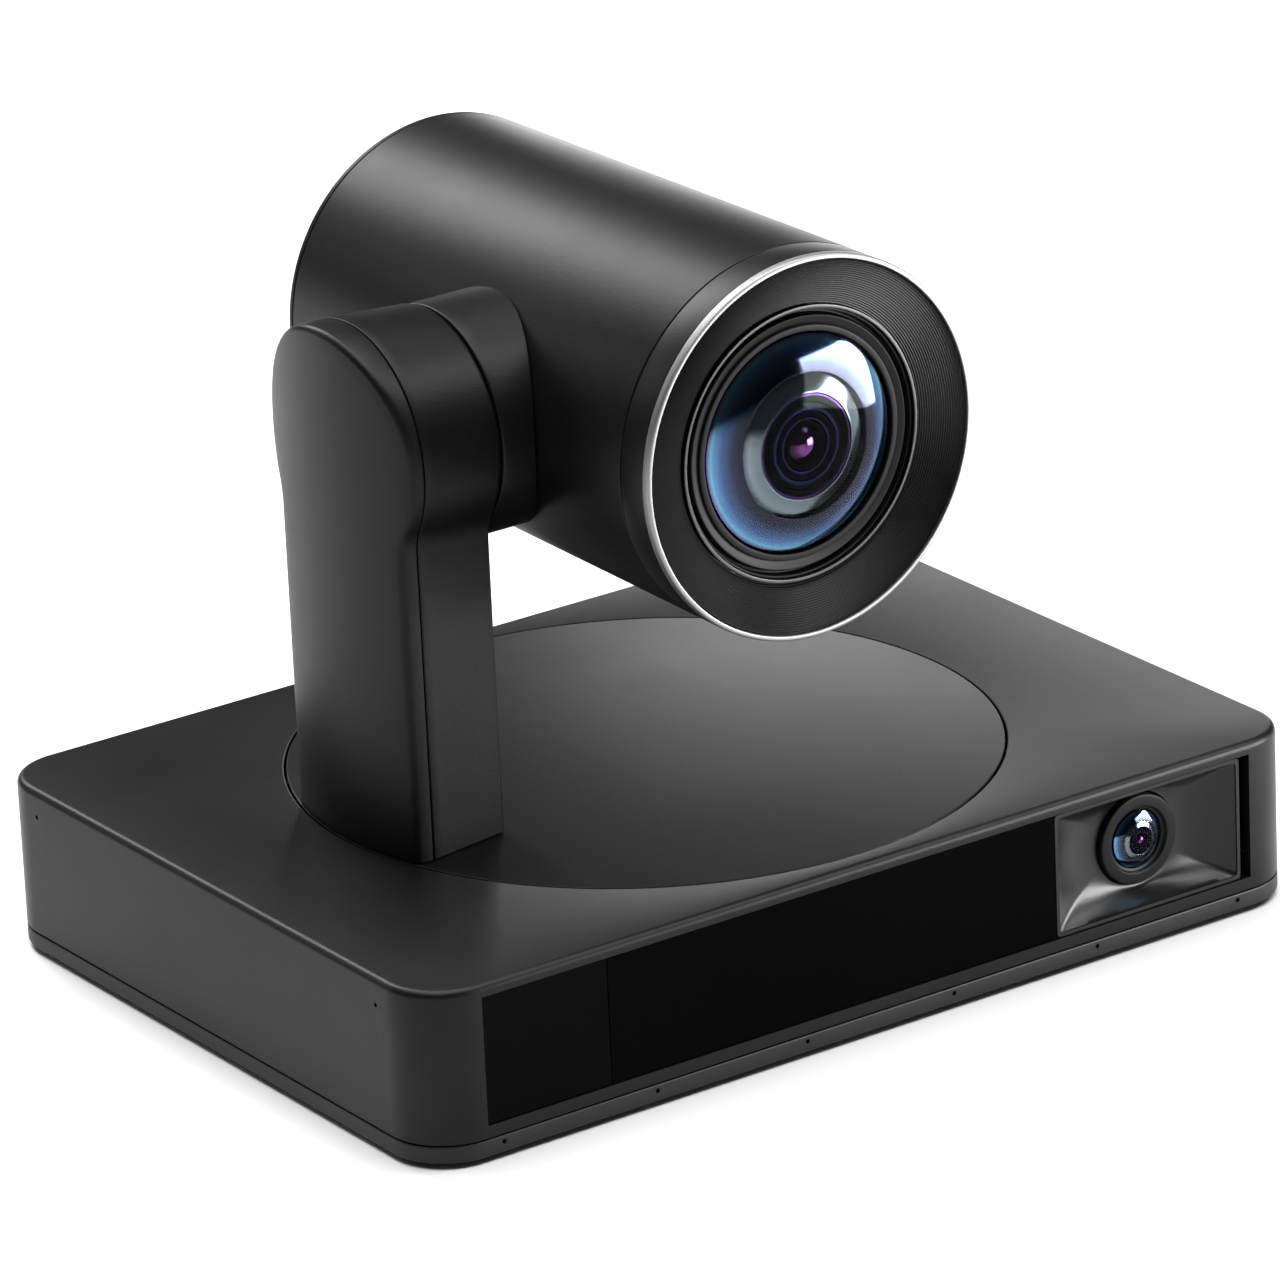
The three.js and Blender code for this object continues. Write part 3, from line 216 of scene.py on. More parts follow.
def cut(piece, *tools):
    """The piece with each tool's volume taken out of it; the tools are used up."""
    for tool in tools:
        modifier = piece.modifiers.new("cut", "BOOLEAN")
        modifier.operation = "DIFFERENCE"
        modifier.solver = "EXACT"
        modifier.object = tool
        bpy.context.view_layer.update()
        ready = piece.evaluated_get(bpy.context.evaluated_depsgraph_get())
        mesh = bpy.data.meshes.new_from_object(ready)
        piece.modifiers.clear()
        piece.data = mesh
        bpy.data.objects.remove(tool)
    return shade(piece)


def block(low, high):
    """A box between two corners in millimetres, used as a cutter."""
    work = bmesh.new()
    bmesh.ops.create_cube(work, size=1.0)
    size = (np.array(high) - np.array(low)) * MM
    centre = (np.array(high) + np.array(low)) / 2 * MM
    bmesh.ops.scale(work, vec=size.tolist(), verts=work.verts)
    bmesh.ops.translate(work, vec=centre.tolist(), verts=work.verts)
    mesh = bpy.data.meshes.new("block")
    work.to_mesh(mesh)
    work.free()
    tool = bpy.data.objects.new("block", mesh)
    bpy.context.scene.collection.objects.link(tool)
    return tool


def pin(axis, radius, start, end, at):
    """A closed cylinder in millimetres, used as a drill."""
    profile = [(0, start, 0), (radius, start, 0), (radius, end, 0), (0, end, 0)]
    return turned("pin", profile, axis, np.array(at) * MM, DRILL_SIDES, closed=False)


# %% [markdown]
# ## Measures from the frame
# Places come from the CAD nodes' boxes, in millimetres, so the looks stay on the frame.

# %% Measures
def span(node):
    """Lowest and highest corner of a CAD node, in millimetres."""
    low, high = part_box(node)
    return np.array(low) / MM, np.array(high) / MM


shell_low, shell_high = span("base_top_shell")
rim_low, rim_high = span("bezel_rim")
cap_high = span("barrel_rear_cap")[1]
joints = {joint["name"]: joint for joint in frame["joints"]}

BASE_WIDTH = shell_high[0] - shell_low[0]
BASE_DEPTH = shell_high[1] - shell_low[1]
BASE_CORNER = 15.5
BAND_HEIGHT = 4.5
SHELL_WALL = 2.6
Z_UNDER = span("base_bottom_cover")[0][2]
Z_SEAM = Z_UNDER + BAND_HEIGHT
Z_TOP = shell_high[2]
TABLE_R = span("turntable")[1][0]
TILT_AXIS = np.array(joints["tilt"]["pos_m"])
Z_TILT = TILT_AXIS[2] / MM
Y_RIM = rim_low[1]
Y_REAR = cap_high[1]
R_FRONT = rim_high[0]
R_REAR = cap_high[0]
print("base", round(BASE_WIDTH), "x", round(BASE_DEPTH), "mm; tilt axis at", round(Z_TILT, 1), "mm")

# %% [markdown]
# ## The base casing
# The base is a rounded rectangle seen from above. Each column of its grid is a core point and an
# outward direction: the outline taken in by a distance is the core plus what is left of the
# corner radius, along that direction. So one set of columns serves every row of the profile.

# %% Plan outline of the base
CORNER_STEPS, LONG_STEPS, SHORT_STEPS = 18, 28, 20


def plan_columns(width, depth, radius):
    """Core points and outward directions round a rounded rectangle, in order from the rear right
    corner: arcs for the corners, evenly spaced points for the straight sides."""
    half = np.array([width / 2 - radius, depth / 2 - radius])
    quarter = np.linspace(0, np.pi / 2, CORNER_STEPS + 1)
    signs = ((1, 1), (-1, 1), (-1, -1), (1, -1))
    core, away = [], []
    for k, (sx, sy) in enumerate(signs):
        t = quarter + k * np.pi / 2
        direction = np.stack([np.cos(t), np.sin(t)], axis=1)
        corner = half * (sx, sy)
        core.append(np.repeat(corner[None], len(t), axis=0))
        away.append(direction)
        following = half * signs[(k + 1) % 4]
        steps = LONG_STEPS if k % 2 == 0 else SHORT_STEPS
        s = np.linspace(0, 1, steps + 1)[1:-1, None]
        core.append(corner * (1 - s) + following * s)
        away.append(np.repeat(direction[-1:], steps - 1, axis=0))
    return np.concatenate(core), np.concatenate(away)


core, away = plan_columns(BASE_WIDTH, BASE_DEPTH, BASE_CORNER)


def outline_row(inset, z):
    """The base's outline taken in by an inset, at a height."""
    flat = core + away * (BASE_CORNER - inset)
    return np.column_stack([flat, np.full(len(flat), z)])


def circle_row(radius, z):
    """A circle round the pan axis whose points lie in line with the outline's."""
    flat = core + away * BASE_CORNER
    flat = flat / np.linalg.norm(flat, axis=1, keepdims=True) * radius
    return np.column_stack([flat, np.full(len(flat), z)])


def base_rows(profile):
    """Rows of a casing: each profile point is (inset, z), or (-radius, z) on the round side."""
    rows = [circle_row(-a, z) if a < 0 else outline_row(a, z) for a, z in profile]
    return np.stack(rows) * MM


# %% [markdown]
# The top shell is the biggest moulding. Its profile runs up the outside wall, over a soft edge,
# across the top to the turntable's hole, down the hole and back along the inside. The window in
# front, the port opening behind and the pinholes of the microphones are cut afterwards.

# %% Top shell
EDGE_R = 1.9
SEAM_R = 0.35
SEAM_GAP = 0.3
TABLE_GAP = 0.55
TABLE_LIP = 0.4
PINHOLE_R = 0.6
PINHOLE_DEPTH = 4
SIDE_MIC_Y = 75.2
SIDE_MIC_DROP = 6.8
CUT_OVER = 2.0  # a cutter reaches this far past what it cuts
WINDOW_EASE = 0.3


def arc_points(ca, cb, radius, start, end, steps=8):
    """Points on an arc, from a start to an end angle in degrees."""
    t = np.radians(np.linspace(start, end, steps + 1))
    return [(ca + radius * math.cos(v), cb + radius * math.sin(v)) for v in t]


def top_shell():
    z_low = Z_SEAM + SEAM_GAP
    hole = TABLE_R + TABLE_GAP
    lip = TABLE_LIP
    profile = [
        (SHELL_WALL, z_low),
        *arc_points(SEAM_R, z_low + SEAM_R, -SEAM_R, 90, 0, 4),
        *arc_points(EDGE_R, Z_TOP - EDGE_R, -EDGE_R, 0, -90),
        *[(-a, z) for a, z in arc_points(hole + lip, Z_TOP - lip, -lip, -90, 0, 4)],
        (-hole, Z_TOP - SHELL_WALL),
        (SHELL_WALL, Z_TOP - SHELL_WALL),
    ]
    return loop_piece("top_shell", base_rows(profile))


def window_box(node_left, node_right):
    """A cutting box as large as the nodes that fill a window, a little eased."""
    low = span(node_left)[0] - WINDOW_EASE
    high = span(node_right)[1] + WINDOW_EASE
    low[1] -= CUT_OVER
    high[1] += CUT_OVER
    return low, high


def side_mic(side, y):
    """A drill for a microphone's pinhole in the left (-1) or right (1) wall."""
    x = side * BASE_WIDTH / 2
    at = (0, y, Z_TOP - SIDE_MIC_DROP)
    return pin("X", PINHOLE_R, x - PINHOLE_DEPTH, x + PINHOLE_DEPTH, at)


shell = top_shell()
front_low, front_high = window_box("side_window", "wide_lens_bezel")
port_low, port_high = window_box("port_plate", "port_plate")
port_high[1] = BASE_DEPTH / 2 + CUT_OVER
pinholes = [side_mic(side, y) for side in (-1, 1) for y in (-SIDE_MIC_Y, SIDE_MIC_Y)]
cut(shell, block(front_low, front_high), block(port_low, port_high), *pinholes)
print("top shell faces:", len(shell.data.polygons))

# %% [markdown]
# The bottom cover is a shallow tray. Only a 4.5 mm band of it shows below the seam, with a row
# of microphone pinholes in front. Feet and screws sit in pockets of its underside.

# %% Bottom cover
COVER_FLOOR = 2.0
COVER_RIM = 0.9
POCKET_EASE = 0.3
FOOT_SINK = 0.8
SCREW_SINK = 1.2
FRONT_MIC_COUNT = 6
FRONT_MIC_PITCH = 43.7
FRONT_MIC_RISE = 2.95
FRONT_MIC_DEPTH = 5
CORNERS = ("front_left", "front_right", "rear_left", "rear_right")


def bottom_cover():
    floor = Z_UNDER + COVER_FLOOR
    insert_hole = span("tripod_insert")[1][0] + POCKET_EASE
    rim = COVER_RIM
    profile = [
        (SHELL_WALL, Z_SEAM),
        (SHELL_WALL, floor),
        (-insert_hole, floor),
        (-insert_hole, Z_UNDER),
        *arc_points(rim, Z_UNDER + rim, -rim, 90, 0, 5),
        *arc_points(SEAM_R, Z_SEAM - SEAM_R, -SEAM_R, 0, -90, 4),
    ]
    return loop_piece("bottom_cover", base_rows(profile))


def pocket(node, depth):
    """A drill for the pocket that holds a round node, from below."""
    low, high = span(node)
    centre = (low + high) / 2
    radius = (high[0] - low[0]) / 2 + POCKET_EASE
    return pin("Z", radius, Z_UNDER - CUT_OVER, Z_UNDER + depth, (centre[0], centre[1], 0))


def front_mic(k):
    """A drill for one of the row of pinholes, which is centred on the front."""
    y_front = -BASE_DEPTH / 2
    x = (k - (FRONT_MIC_COUNT - 1) / 2) * FRONT_MIC_PITCH
    at = (x, 0, Z_UNDER + FRONT_MIC_RISE)
    return pin("Y", PINHOLE_R, y_front - CUT_OVER, y_front + FRONT_MIC_DEPTH, at)


cover = bottom_cover()
front_mics = [front_mic(k) for k in range(FRONT_MIC_COUNT)]
pockets = [pocket("foot_" + c, FOOT_SINK) for c in CORNERS]
pockets += [pocket("base_screw_" + c, SCREW_SINK) for c in CORNERS]
cut(cover, *front_mics, *pockets)
print("bottom cover faces:", len(cover.data.polygons))

# %% [markdown]
# ## The turntable
# A thin disc, flush with the top shell, with a rounded rim. The dark ring that shows round it is
# the real gap between the two.

# %% Turntable
def turntable():
    low, high = Z_TOP - SHELL_WALL, Z_TOP
    profile = [(0, low, 0), (TABLE_R, low, 0), (TABLE_R, high, TABLE_LIP), (0, high, 0)]
    return turned("turntable_disc", profile, "Z", (0, 0, 0), 192, closed=False)


table = turntable()

# %% [markdown]
# ## The arm
# The arm's side outline is a straight foot, a waist and a round top on the tilt axis. The waist
# is an arc that touches both, so the outline has no kink. The same outline, taken in by an inset,
# gives every row of the arm's casing.

# %% Arm outline
Z_ARM_FOOT = span("arm_housing")[0][2]
ARM_WAIST_R = 15.0
EDGE_STEPS, WAIST_STEPS, TOP_STEPS, FOOT_POINTS = 10, 14, 56, 7


def arm_outline(top_r, half_width, inset=0.0, foot_inset=None):
    """The arm from the side as (y, z) points: the foot line, up the front edge, round the waist,
    over the top and down the rear edge. The waist's centre lies a waist radius out from the
    straight edge and at the sum of both radii from the tilt axis."""
    r, w, waist = top_r - inset, half_width - inset, ARM_WAIST_R + inset
    foot = Z_ARM_FOOT + (inset if foot_inset is None else foot_inset)
    drop = math.sqrt((r + waist) ** 2 - (w + waist) ** 2)
    lean = math.atan2(drop, w + waist)
    z_waist = Z_TILT - drop
    up = np.linspace(foot, z_waist, EDGE_STEPS + 1)[:-1]
    front = np.stack([np.full(len(up), w), up], axis=1)
    t = np.linspace(math.pi, math.pi - lean, WAIST_STEPS + 1)[:-1]
    waist_arc = np.stack([w + waist + waist * np.cos(t), z_waist + waist * np.sin(t)], axis=1)
    t = np.linspace(-lean, math.pi + lean, TOP_STEPS + 1)
    top = np.stack([r * np.cos(t), Z_TILT + r * np.sin(t)], axis=1)
    mirror = np.array([-1.0, 1.0])
    edge = np.concatenate([front, waist_arc])
    along = np.linspace(-w, w, FOOT_POINTS + 2)[1:-1]
    foot_line = np.stack([along, np.full(FOOT_POINTS, foot)], axis=1)
    return np.concatenate([edge, top, (edge * mirror)[::-1], foot_line])


def arm_row(x, flat):
    """Arm outline points at a place along X."""
    return np.column_stack([np.broadcast_to(x, len(flat)), flat])


def spine_rows(flat, shares):
    """Rows that shrink an outline onto the arm's middle line, by the given shares."""
    w = abs(flat[:, 0]).max()
    middle = np.clip(flat[:, 1], Z_ARM_FOOT + w, Z_TILT)
    spine = np.stack([0 * middle, middle], axis=1)
    return [spine + (flat - spine) * s for s in shares]


# %% [markdown]
# The outer cover's face is part of a tall cylinder round the pan axis, so that the arm ends
# flush with the turntable. Each point's x is found from its y on that cylinder. The rim is
# rounded by a quarter circle, and the face is filled by rows that shrink onto the middle line.

# %% Arm outer cover
SHARES = np.linspace(1, 0, 9)[1:]
SEAM_TURN = np.linspace(0, math.pi / 2, 5)
RIM_TURN = np.linspace(0, math.pi / 2, 7)
ARM_HALF_WIDTH = 25.8
ARM_SEAM_R = 0.3
ARM_WALL = 2.2
COVER_RIM_R = 1.6


def arm_size(node):
    """Top radius and half width of the arm's outline where the cover and the housing meet."""
    low, high = span(node)
    return (high[1] - low[1]) / 2, ARM_HALF_WIDTH


def seam_rows(x_seam, way, size):
    """The flat side at the seam and its small round edge; the piece lies way (-1 or 1) along X."""
    inside = arm_outline(*size, ARM_WALL)
    rows = [arm_row(x_seam, f) for f in spine_rows(inside, SHARES[::-1])]
    rows.append(arm_row(x_seam, inside))
    for t in SEAM_TURN:
        flat = arm_outline(*size, ARM_SEAM_R * (1 - math.sin(t)), 0)
        rows.append(arm_row(x_seam + way * ARM_SEAM_R * (1 - math.cos(t)), flat))
    return rows


def pole_piece(name, rows):
    """A closed piece from rows whose first and last shrink to a line."""
    grid = np.stack(rows) * MM
    return shade(mesh_piece(name, grid, grid_faces(len(rows), grid.shape[1], False, True)))


def on_cylinder(flat, sink=0.0):
    """x of (y, z) points on the left side of the turntable's cylinder, sunk towards its axis."""
    return -np.sqrt(TABLE_R**2 - flat[:, 0] ** 2) + sink


def arm_cover():
    size = arm_size("arm_outer_cover")
    rows = seam_rows(span("arm_outer_cover")[1][0], -1, size)
    for t in RIM_TURN:
        flat = arm_outline(*size, COVER_RIM_R * (1 - math.cos(t)), 0)
        rows.append(arm_row(on_cylinder(flat, COVER_RIM_R * (1 - math.sin(t))), flat))
    face = arm_outline(*size, COVER_RIM_R, 0)
    rows += [arm_row(on_cylinder(flat), flat) for flat in spine_rows(face, SHARES)]
    return pole_piece("arm_cover", rows)


arm_outside = arm_cover()
print("arm cover faces:", len(arm_outside.data.polygons))

# %% [markdown]
# The housing is lofted from the cover's outline to a slightly smaller one next to the head. Its
# end towards the head is closed, with a rounded rim, and the neck of the head meets it there.

# %% Arm housing
HOUSING_RIM_R = 1.2
SLIM_SIZE = (29.4, 22.4)  # top radius and half width at the end towards the head


def arm_housing():
    x_seam, x_face = (corner[0] for corner in span("arm_housing"))
    wide, slim, rim = arm_size("arm_housing"), SLIM_SIZE, HOUSING_RIM_R
    rows = seam_rows(x_seam, 1, wide)
    for s in np.linspace(0, 1, 9)[1:-1]:
        size = [a + (b - a) * s for a, b in zip(wide, slim)]
        rows.append(arm_row(x_seam + (x_face - rim - x_seam) * s, arm_outline(*size, 0, 0)))
    for t in RIM_TURN:
        flat = arm_outline(*slim, rim * (1 - math.cos(t)), 0)
        rows.append(arm_row(x_face - rim * (1 - math.sin(t)), flat))
    rows += [arm_row(x_face, f) for f in spine_rows(arm_outline(*slim, rim, 0), SHARES)]
    return pole_piece("arm_housing_casing", rows)


arm_inside = arm_housing()
print("arm housing faces:", len(arm_inside.data.polygons))

# %% [markdown]
# ## The head
# The barrel narrows a little from the lens to its rear. All its rings share one axis, so each is
# a turned profile. The thin lines between them are real gaps of a few tenths of a millimetre.

# %% Barrel pieces
BARREL_WALL = 2.2
BARREL_SEAM = 0.35
CAP_LENGTH = 2.7
CAP_SEAM = 0.3
BEZEL_WALL_REAR, BEZEL_WALL_FRONT = 3, 1.6
RIM_WALL = 1.3
RIM_LENGTH = 2.2
RIM_SEAM = 0.1
Y_BEZEL_SEAM = Y_RIM + 11.3


def barrel_r(y):
    """The barrel's outer radius at a place along Y: a straight line between its two ends."""
    return R_FRONT + (R_REAR - R_FRONT) * (y - Y_RIM) / (Y_REAR - Y_RIM)


def on_head(name, profile, sides=192, closed=True):
    return turned(name, profile, "Y", TILT_AXIS * (1, 0, 1), sides, closed)


def barrel():
    y0, y1 = Y_BEZEL_SEAM + BARREL_SEAM, Y_REAR - CAP_LENGTH - CAP_SEAM
    outer = [(barrel_r(y0), y0, 0.3), (barrel_r(y1), y1, 0.2)]
    inner = [(barrel_r(y1) - BARREL_WALL, y1, 0), (barrel_r(y0) - BARREL_WALL, y0, 0)]
    return on_head("barrel", outer + inner)


def rear_cap():
    y_joint = Y_REAR - CAP_LENGTH
    return on_head(
        "rear_cap",
        [
            (0, Y_REAR, 0),
            (R_REAR - 0.05, Y_REAR, 1.9),
            (barrel_r(y_joint), y_joint, 0.25),
            (R_REAR - 3, y_joint, 0),
            (0, y_joint, 0),
        ],
        closed=False,
    )


def bezel():
    y0, y1 = Y_RIM + RIM_LENGTH + RIM_SEAM, Y_BEZEL_SEAM
    return on_head(
        "bezel",
        [
            (barrel_r(y0), y0, 0.15),
            (barrel_r(y1), y1, 0.3),
            (barrel_r(y1) - BEZEL_WALL_REAR, y1, 0),
            (barrel_r(y0) - BEZEL_WALL_FRONT, y0, 0),
        ],
    )


def bright_rim():
    return on_head(
        "bright_rim",
        [
            (R_FRONT - RIM_WALL, Y_RIM, 0.25),
            (R_FRONT - 0.02, Y_RIM, 0.75),
            (R_FRONT, Y_RIM + RIM_LENGTH, 0.1),
            (R_FRONT - RIM_WALL, Y_RIM + RIM_LENGTH, 0.1),
        ],
    )


barrel_pieces = [barrel(), rear_cap(), bezel()]
rim = bright_rim()

# %% [markdown]
# The hood ring inside the rim is a shallow bowl with fine ridges that break up stray light. The
# ridges are real: the bowl's profile carries a small wave, one crest every 0.55 mm.

# %% Ridged hood
HOOD_OUT = R_FRONT - 1.7
HOOD_IN = 34.3
HOOD_SINK = 4.4
HOOD_CURVE = 1.25  # 1 would be a straight cone
HOOD_SETBACK = 0.75
RIDGE_PITCH = 0.55
RIDGE_HEIGHT = 0.2
STEPS_A_RIDGE = 6


def ridged_hood():
    """Radius runs evenly from the rim to the retainer, s from 0 to 1. Depth is the sink times s
    to a power, plus half a ridge height times one minus the cosine of the ridge phase."""
    count = round((HOOD_OUT - HOOD_IN) / RIDGE_PITCH)
    s = np.linspace(0, 1, count * STEPS_A_RIDGE + 1)
    radius = HOOD_OUT + (HOOD_IN - HOOD_OUT) * s
    wave = RIDGE_HEIGHT * 0.5 * (1 - np.cos(2 * np.pi * count * s))
    along = Y_RIM + HOOD_SETBACK + HOOD_SINK * s**HOOD_CURVE + wave
    face = [(r, y, 0) for r, y in zip(radius, along)]
    back = [(HOOD_IN, along[-1] + 1.5, 0), (HOOD_OUT, Y_RIM + 3.2, 0)]
    return on_head("ridged_hood", face + back, 160)


hood = ridged_hood()
print("hood faces:", len(hood.data.polygons))

# %% [markdown]
# ## The lens
# Behind the hood come a thin bright ring, a grooved retaining ring, the front edge of the lens
# tube, and the front glass, which bulges forward. A zoom lens magnifies what lies behind its front
# glass, so the rings of the inner elements seem to stand just under the surface. They are made
# there: each zone is its own turned ring on one bulging curve, a hair below the glass, with a
# small step to the next.

# %% Lens rings
GLASS_R = 27.0
Y_GLASS = span("front_glass")[0][1]
GLASS_RISE = 4.4
Y_GLASS_EDGE = Y_GLASS + GLASS_RISE
LENS_TUBE_WALL = 1.6
RETAINER_SETBACK = 4.6
BULGE_POWER = 3.0  # 2 would be a paraboloid; a higher power is flatter in the middle


def bulge(r, radius, y_edge, rise, power=BULGE_POWER):
    """Depth at a distance from the axis: the edge's, less the rise times one minus the share of
    the radius to a power."""
    return y_edge - rise * (1 - (r / radius) ** power)


def dome(radius, y_edge, rise, steps=20, power=BULGE_POWER):
    """Points of a bulge from the axis to the edge."""
    r = np.linspace(0, radius, steps + 1)
    return [(a, bulge(a, radius, y_edge, rise, power), 0) for a in r]


def retaining_rings():
    """The bright ring round the lens, and the ring with a groove on each side that holds it."""
    y = Y_RIM + RETAINER_SETBACK
    bright = on_head(
        "lens_trim_ring",
        [(34.0, y - 0.6, 0.15), (34.0, y + 1, 0), (33.2, y + 1, 0), (33.2, y - 0.6, 0.15)],
    )
    grooved = on_head(
        "lens_retaining_ring",
        [
            (33.1, y + 0.4, 0.2),
            (33.1, y + 4, 0),
            (27.2, y + 4, 0),
            (27.2, y + 2.4, 0.2),
            (28.0, y + 2.2, 0.2),
            (28.3, y + 1.3, 0.3),
            (31.2, y + 0.5, 0.3),
            (31.5, y + 2.6, 0.3),
            (32.3, y + 2.6, 0.3),
            (32.5, y + 0.4, 0.15),
        ],
    )
    return bright, grooved


def front_element():
    back = [(GLASS_R, Y_GLASS_EDGE + 1.6, 0.2), (0, Y_GLASS_EDGE + 1.2, 0)]
    face = dome(GLASS_R, Y_GLASS_EDGE, GLASS_RISE, 28)
    return on_head("front_element", face + back, 160, closed=False)


def lens_tube():
    """The tube that holds the lens: a plain round tube whose front edge shows inside the ring."""
    low, high = span("lens_tube")
    r_out = (high[0] - low[0]) / 2
    r_in = r_out - LENS_TUBE_WALL
    outer = [(r_out, low[1], 0.3), (r_out, high[1], 0.2)]
    return on_head("lens_tube_round", outer + [(r_in, high[1], 0.2), (r_in, low[1], 0.3)])


trim_ring, retaining_ring = retaining_rings()
round_tube = lens_tube()
front_glass = front_element()

# %% [markdown]
# Each zone runs between two radii on the same curve. Each next one lies a little lower, which
# leaves fine dark lines between them, and the second is steeper than the curve. The last is a
# small, strongly curved dome, which mirrors the lights as points.

# %% Zones of the lens
ELEMENT_GAP = 0.25  # from the glass down to the zones
ZONE_STEPS = 12
ZONE_THICK = 1.0
SHOULDER_R = 0.08
PUPIL_R, PUPIL_RISE, PUPIL_GAP = 4.4, 1.7, 0.2
ZONES = [
    # name, outer and inner radius, how far it lies below the curve, and how much steeper it is
    ("outer_element", 26.6, 18.0, 0.0, 0.0),
    ("element_ring", 17.8, 13.1, 0.2, 0.22),
    ("pupil_ring_1", 12.8, 10.9, 0.5, 0.0),
    ("pupil_ring_2", 10.6, 8.7, 0.8, 0.0),
    ("pupil_ring_3", 8.4, 6.4, 1.2, 0.0),
    ("pupil_ring_4", 6.1, 4.7, 1.6, 0.0),
]


def zone(make, name, r_out, r_in, sink, tilt, glass, sides):
    """A ring between two radii on the glass's curve, sunk by a depth that grows outwards by the
    tilt, with rounded shoulders."""
    radius, y_edge, rise = glass
    r = np.linspace(r_in, r_out, ZONE_STEPS + 1)
    along = bulge(r, radius, y_edge, rise) + ELEMENT_GAP * rise / GLASS_RISE + sink
    along = along + tilt * (r - r_in)
    face = [(a, b, 0) for a, b in zip(r, along)]
    face[0] = (*face[0][:2], SHOULDER_R)
    face[-1] = (*face[-1][:2], SHOULDER_R)
    deep = along[-1] + ZONE_THICK
    return make(name, face + [(r_out, deep, 0), (r_in, deep, 0)], sides)


BIG_GLASS = (GLASS_R, Y_GLASS_EDGE, GLASS_RISE)
zones = [zone(on_head, *line, BIG_GLASS, 160) for line in ZONES]


def pupil_element():
    """A small dome, curved as a circle's cap would be, whose top stands just under the glass."""
    y_edge = bulge(0, *BIG_GLASS) + ELEMENT_GAP + PUPIL_GAP + PUPIL_RISE
    face = dome(PUPIL_R, y_edge, PUPIL_RISE, 16, 2.0)
    back = [(PUPIL_R, y_edge + 2, 0), (0, y_edge + 2, 0)]
    return on_head("pupil_element", face + back, 96, False)


pupil_dome = pupil_element()
lens_pieces = [trim_ring, retaining_ring, round_tube, front_glass, *zones, pupil_dome]
print("lens pieces:", len(lens_pieces))

# %% [markdown]
# ## The neck
# The neck is a cylinder along X that runs into the barrel. Where it ends, each point lies on the
# barrel's surface: x is minus the root of the barrel's radius squared less the height squared.
# A hairline of shadow is left between the two.

# %% Neck
NECK_GAP = 0.35
NECK_RIM_R = 0.5
NECK_EDGE = (0.3, 0.4)  # bevel at the barrel: in radius, along X


def neck():
    low, high = span("neck_collar")
    radius = (high[1] - low[1]) / 2
    t = np.linspace(0, 2 * np.pi, 160, endpoint=False)

    def ring(x, r):
        circle = [r * np.cos(t), Z_TILT + r * np.sin(t)]
        return np.stack([np.broadcast_to(x, t.shape), *circle], axis=1)

    def saddle(r, off):
        y, z = r * np.cos(t), r * np.sin(t)
        return ring(-np.sqrt((barrel_r(y) + off) ** 2 - z**2), r)

    rim = NECK_RIM_R
    bevelled = radius - NECK_EDGE[0]
    rows = [ring(low[0], r) for r in np.linspace(0, radius - rim, 6)]
    for a in SEAM_TURN[1:]:
        rows.append(ring(low[0] + rim * (1 - math.cos(a)), radius - rim * (1 - math.sin(a))))
    near = saddle(radius, NECK_GAP + NECK_EDGE[1])
    far = rows[-1]
    rows += [far * (1 - s) + near * s for s in np.linspace(0, 1, 7)[1:]]
    rows += [saddle(r, NECK_GAP) for r in np.linspace(bevelled, 0, 8)]
    return pole_piece("neck", rows)


neck_piece = neck()

# %% [markdown]
# ## The wide-angle camera
# Its window is a funnel: four walls slope from the window's frame to a round throat, and soft
# creases run from the corners to the lens. Each row of the grid is a blend of a rounded
# rectangle and a circle.

# %% Funnel
bezel_low, bezel_high = span("wide_lens_bezel")
house_low, house_high = span("wide_lens_housing")
X_WIDE = (house_low[0] + house_high[0]) / 2
Z_WIDE = (house_low[2] + house_high[2]) / 2
WIDE_R = (house_high[0] - house_low[0]) / 2
WIDE_AXIS = np.array([X_WIDE, 0, Z_WIDE]) * MM
SLOT = 2.6  # dark slot at the right end of the window
FRAME_WALL = 0.9
FRAME_LIP = 0.5
THROAT_EASE = 0.5
FUNNEL_DEPTH = 6.5
FUNNEL_BACK = 9.5
FUNNEL_CURVE = 0.9  # the walls are steep at the frame and level out towards the lens


def superellipse(half_u, half_v, power, t):
    """Points where |u / half_u|^power plus |v / half_v|^power is one: an ellipse at power 2, and
    nearly a rectangle at a high power."""
    c, s = np.cos(t), np.sin(t)
    scale = (abs(c) ** power + abs(s) ** power) ** (-1 / power)
    return np.stack([half_u * c * scale, half_v * s * scale], axis=1)


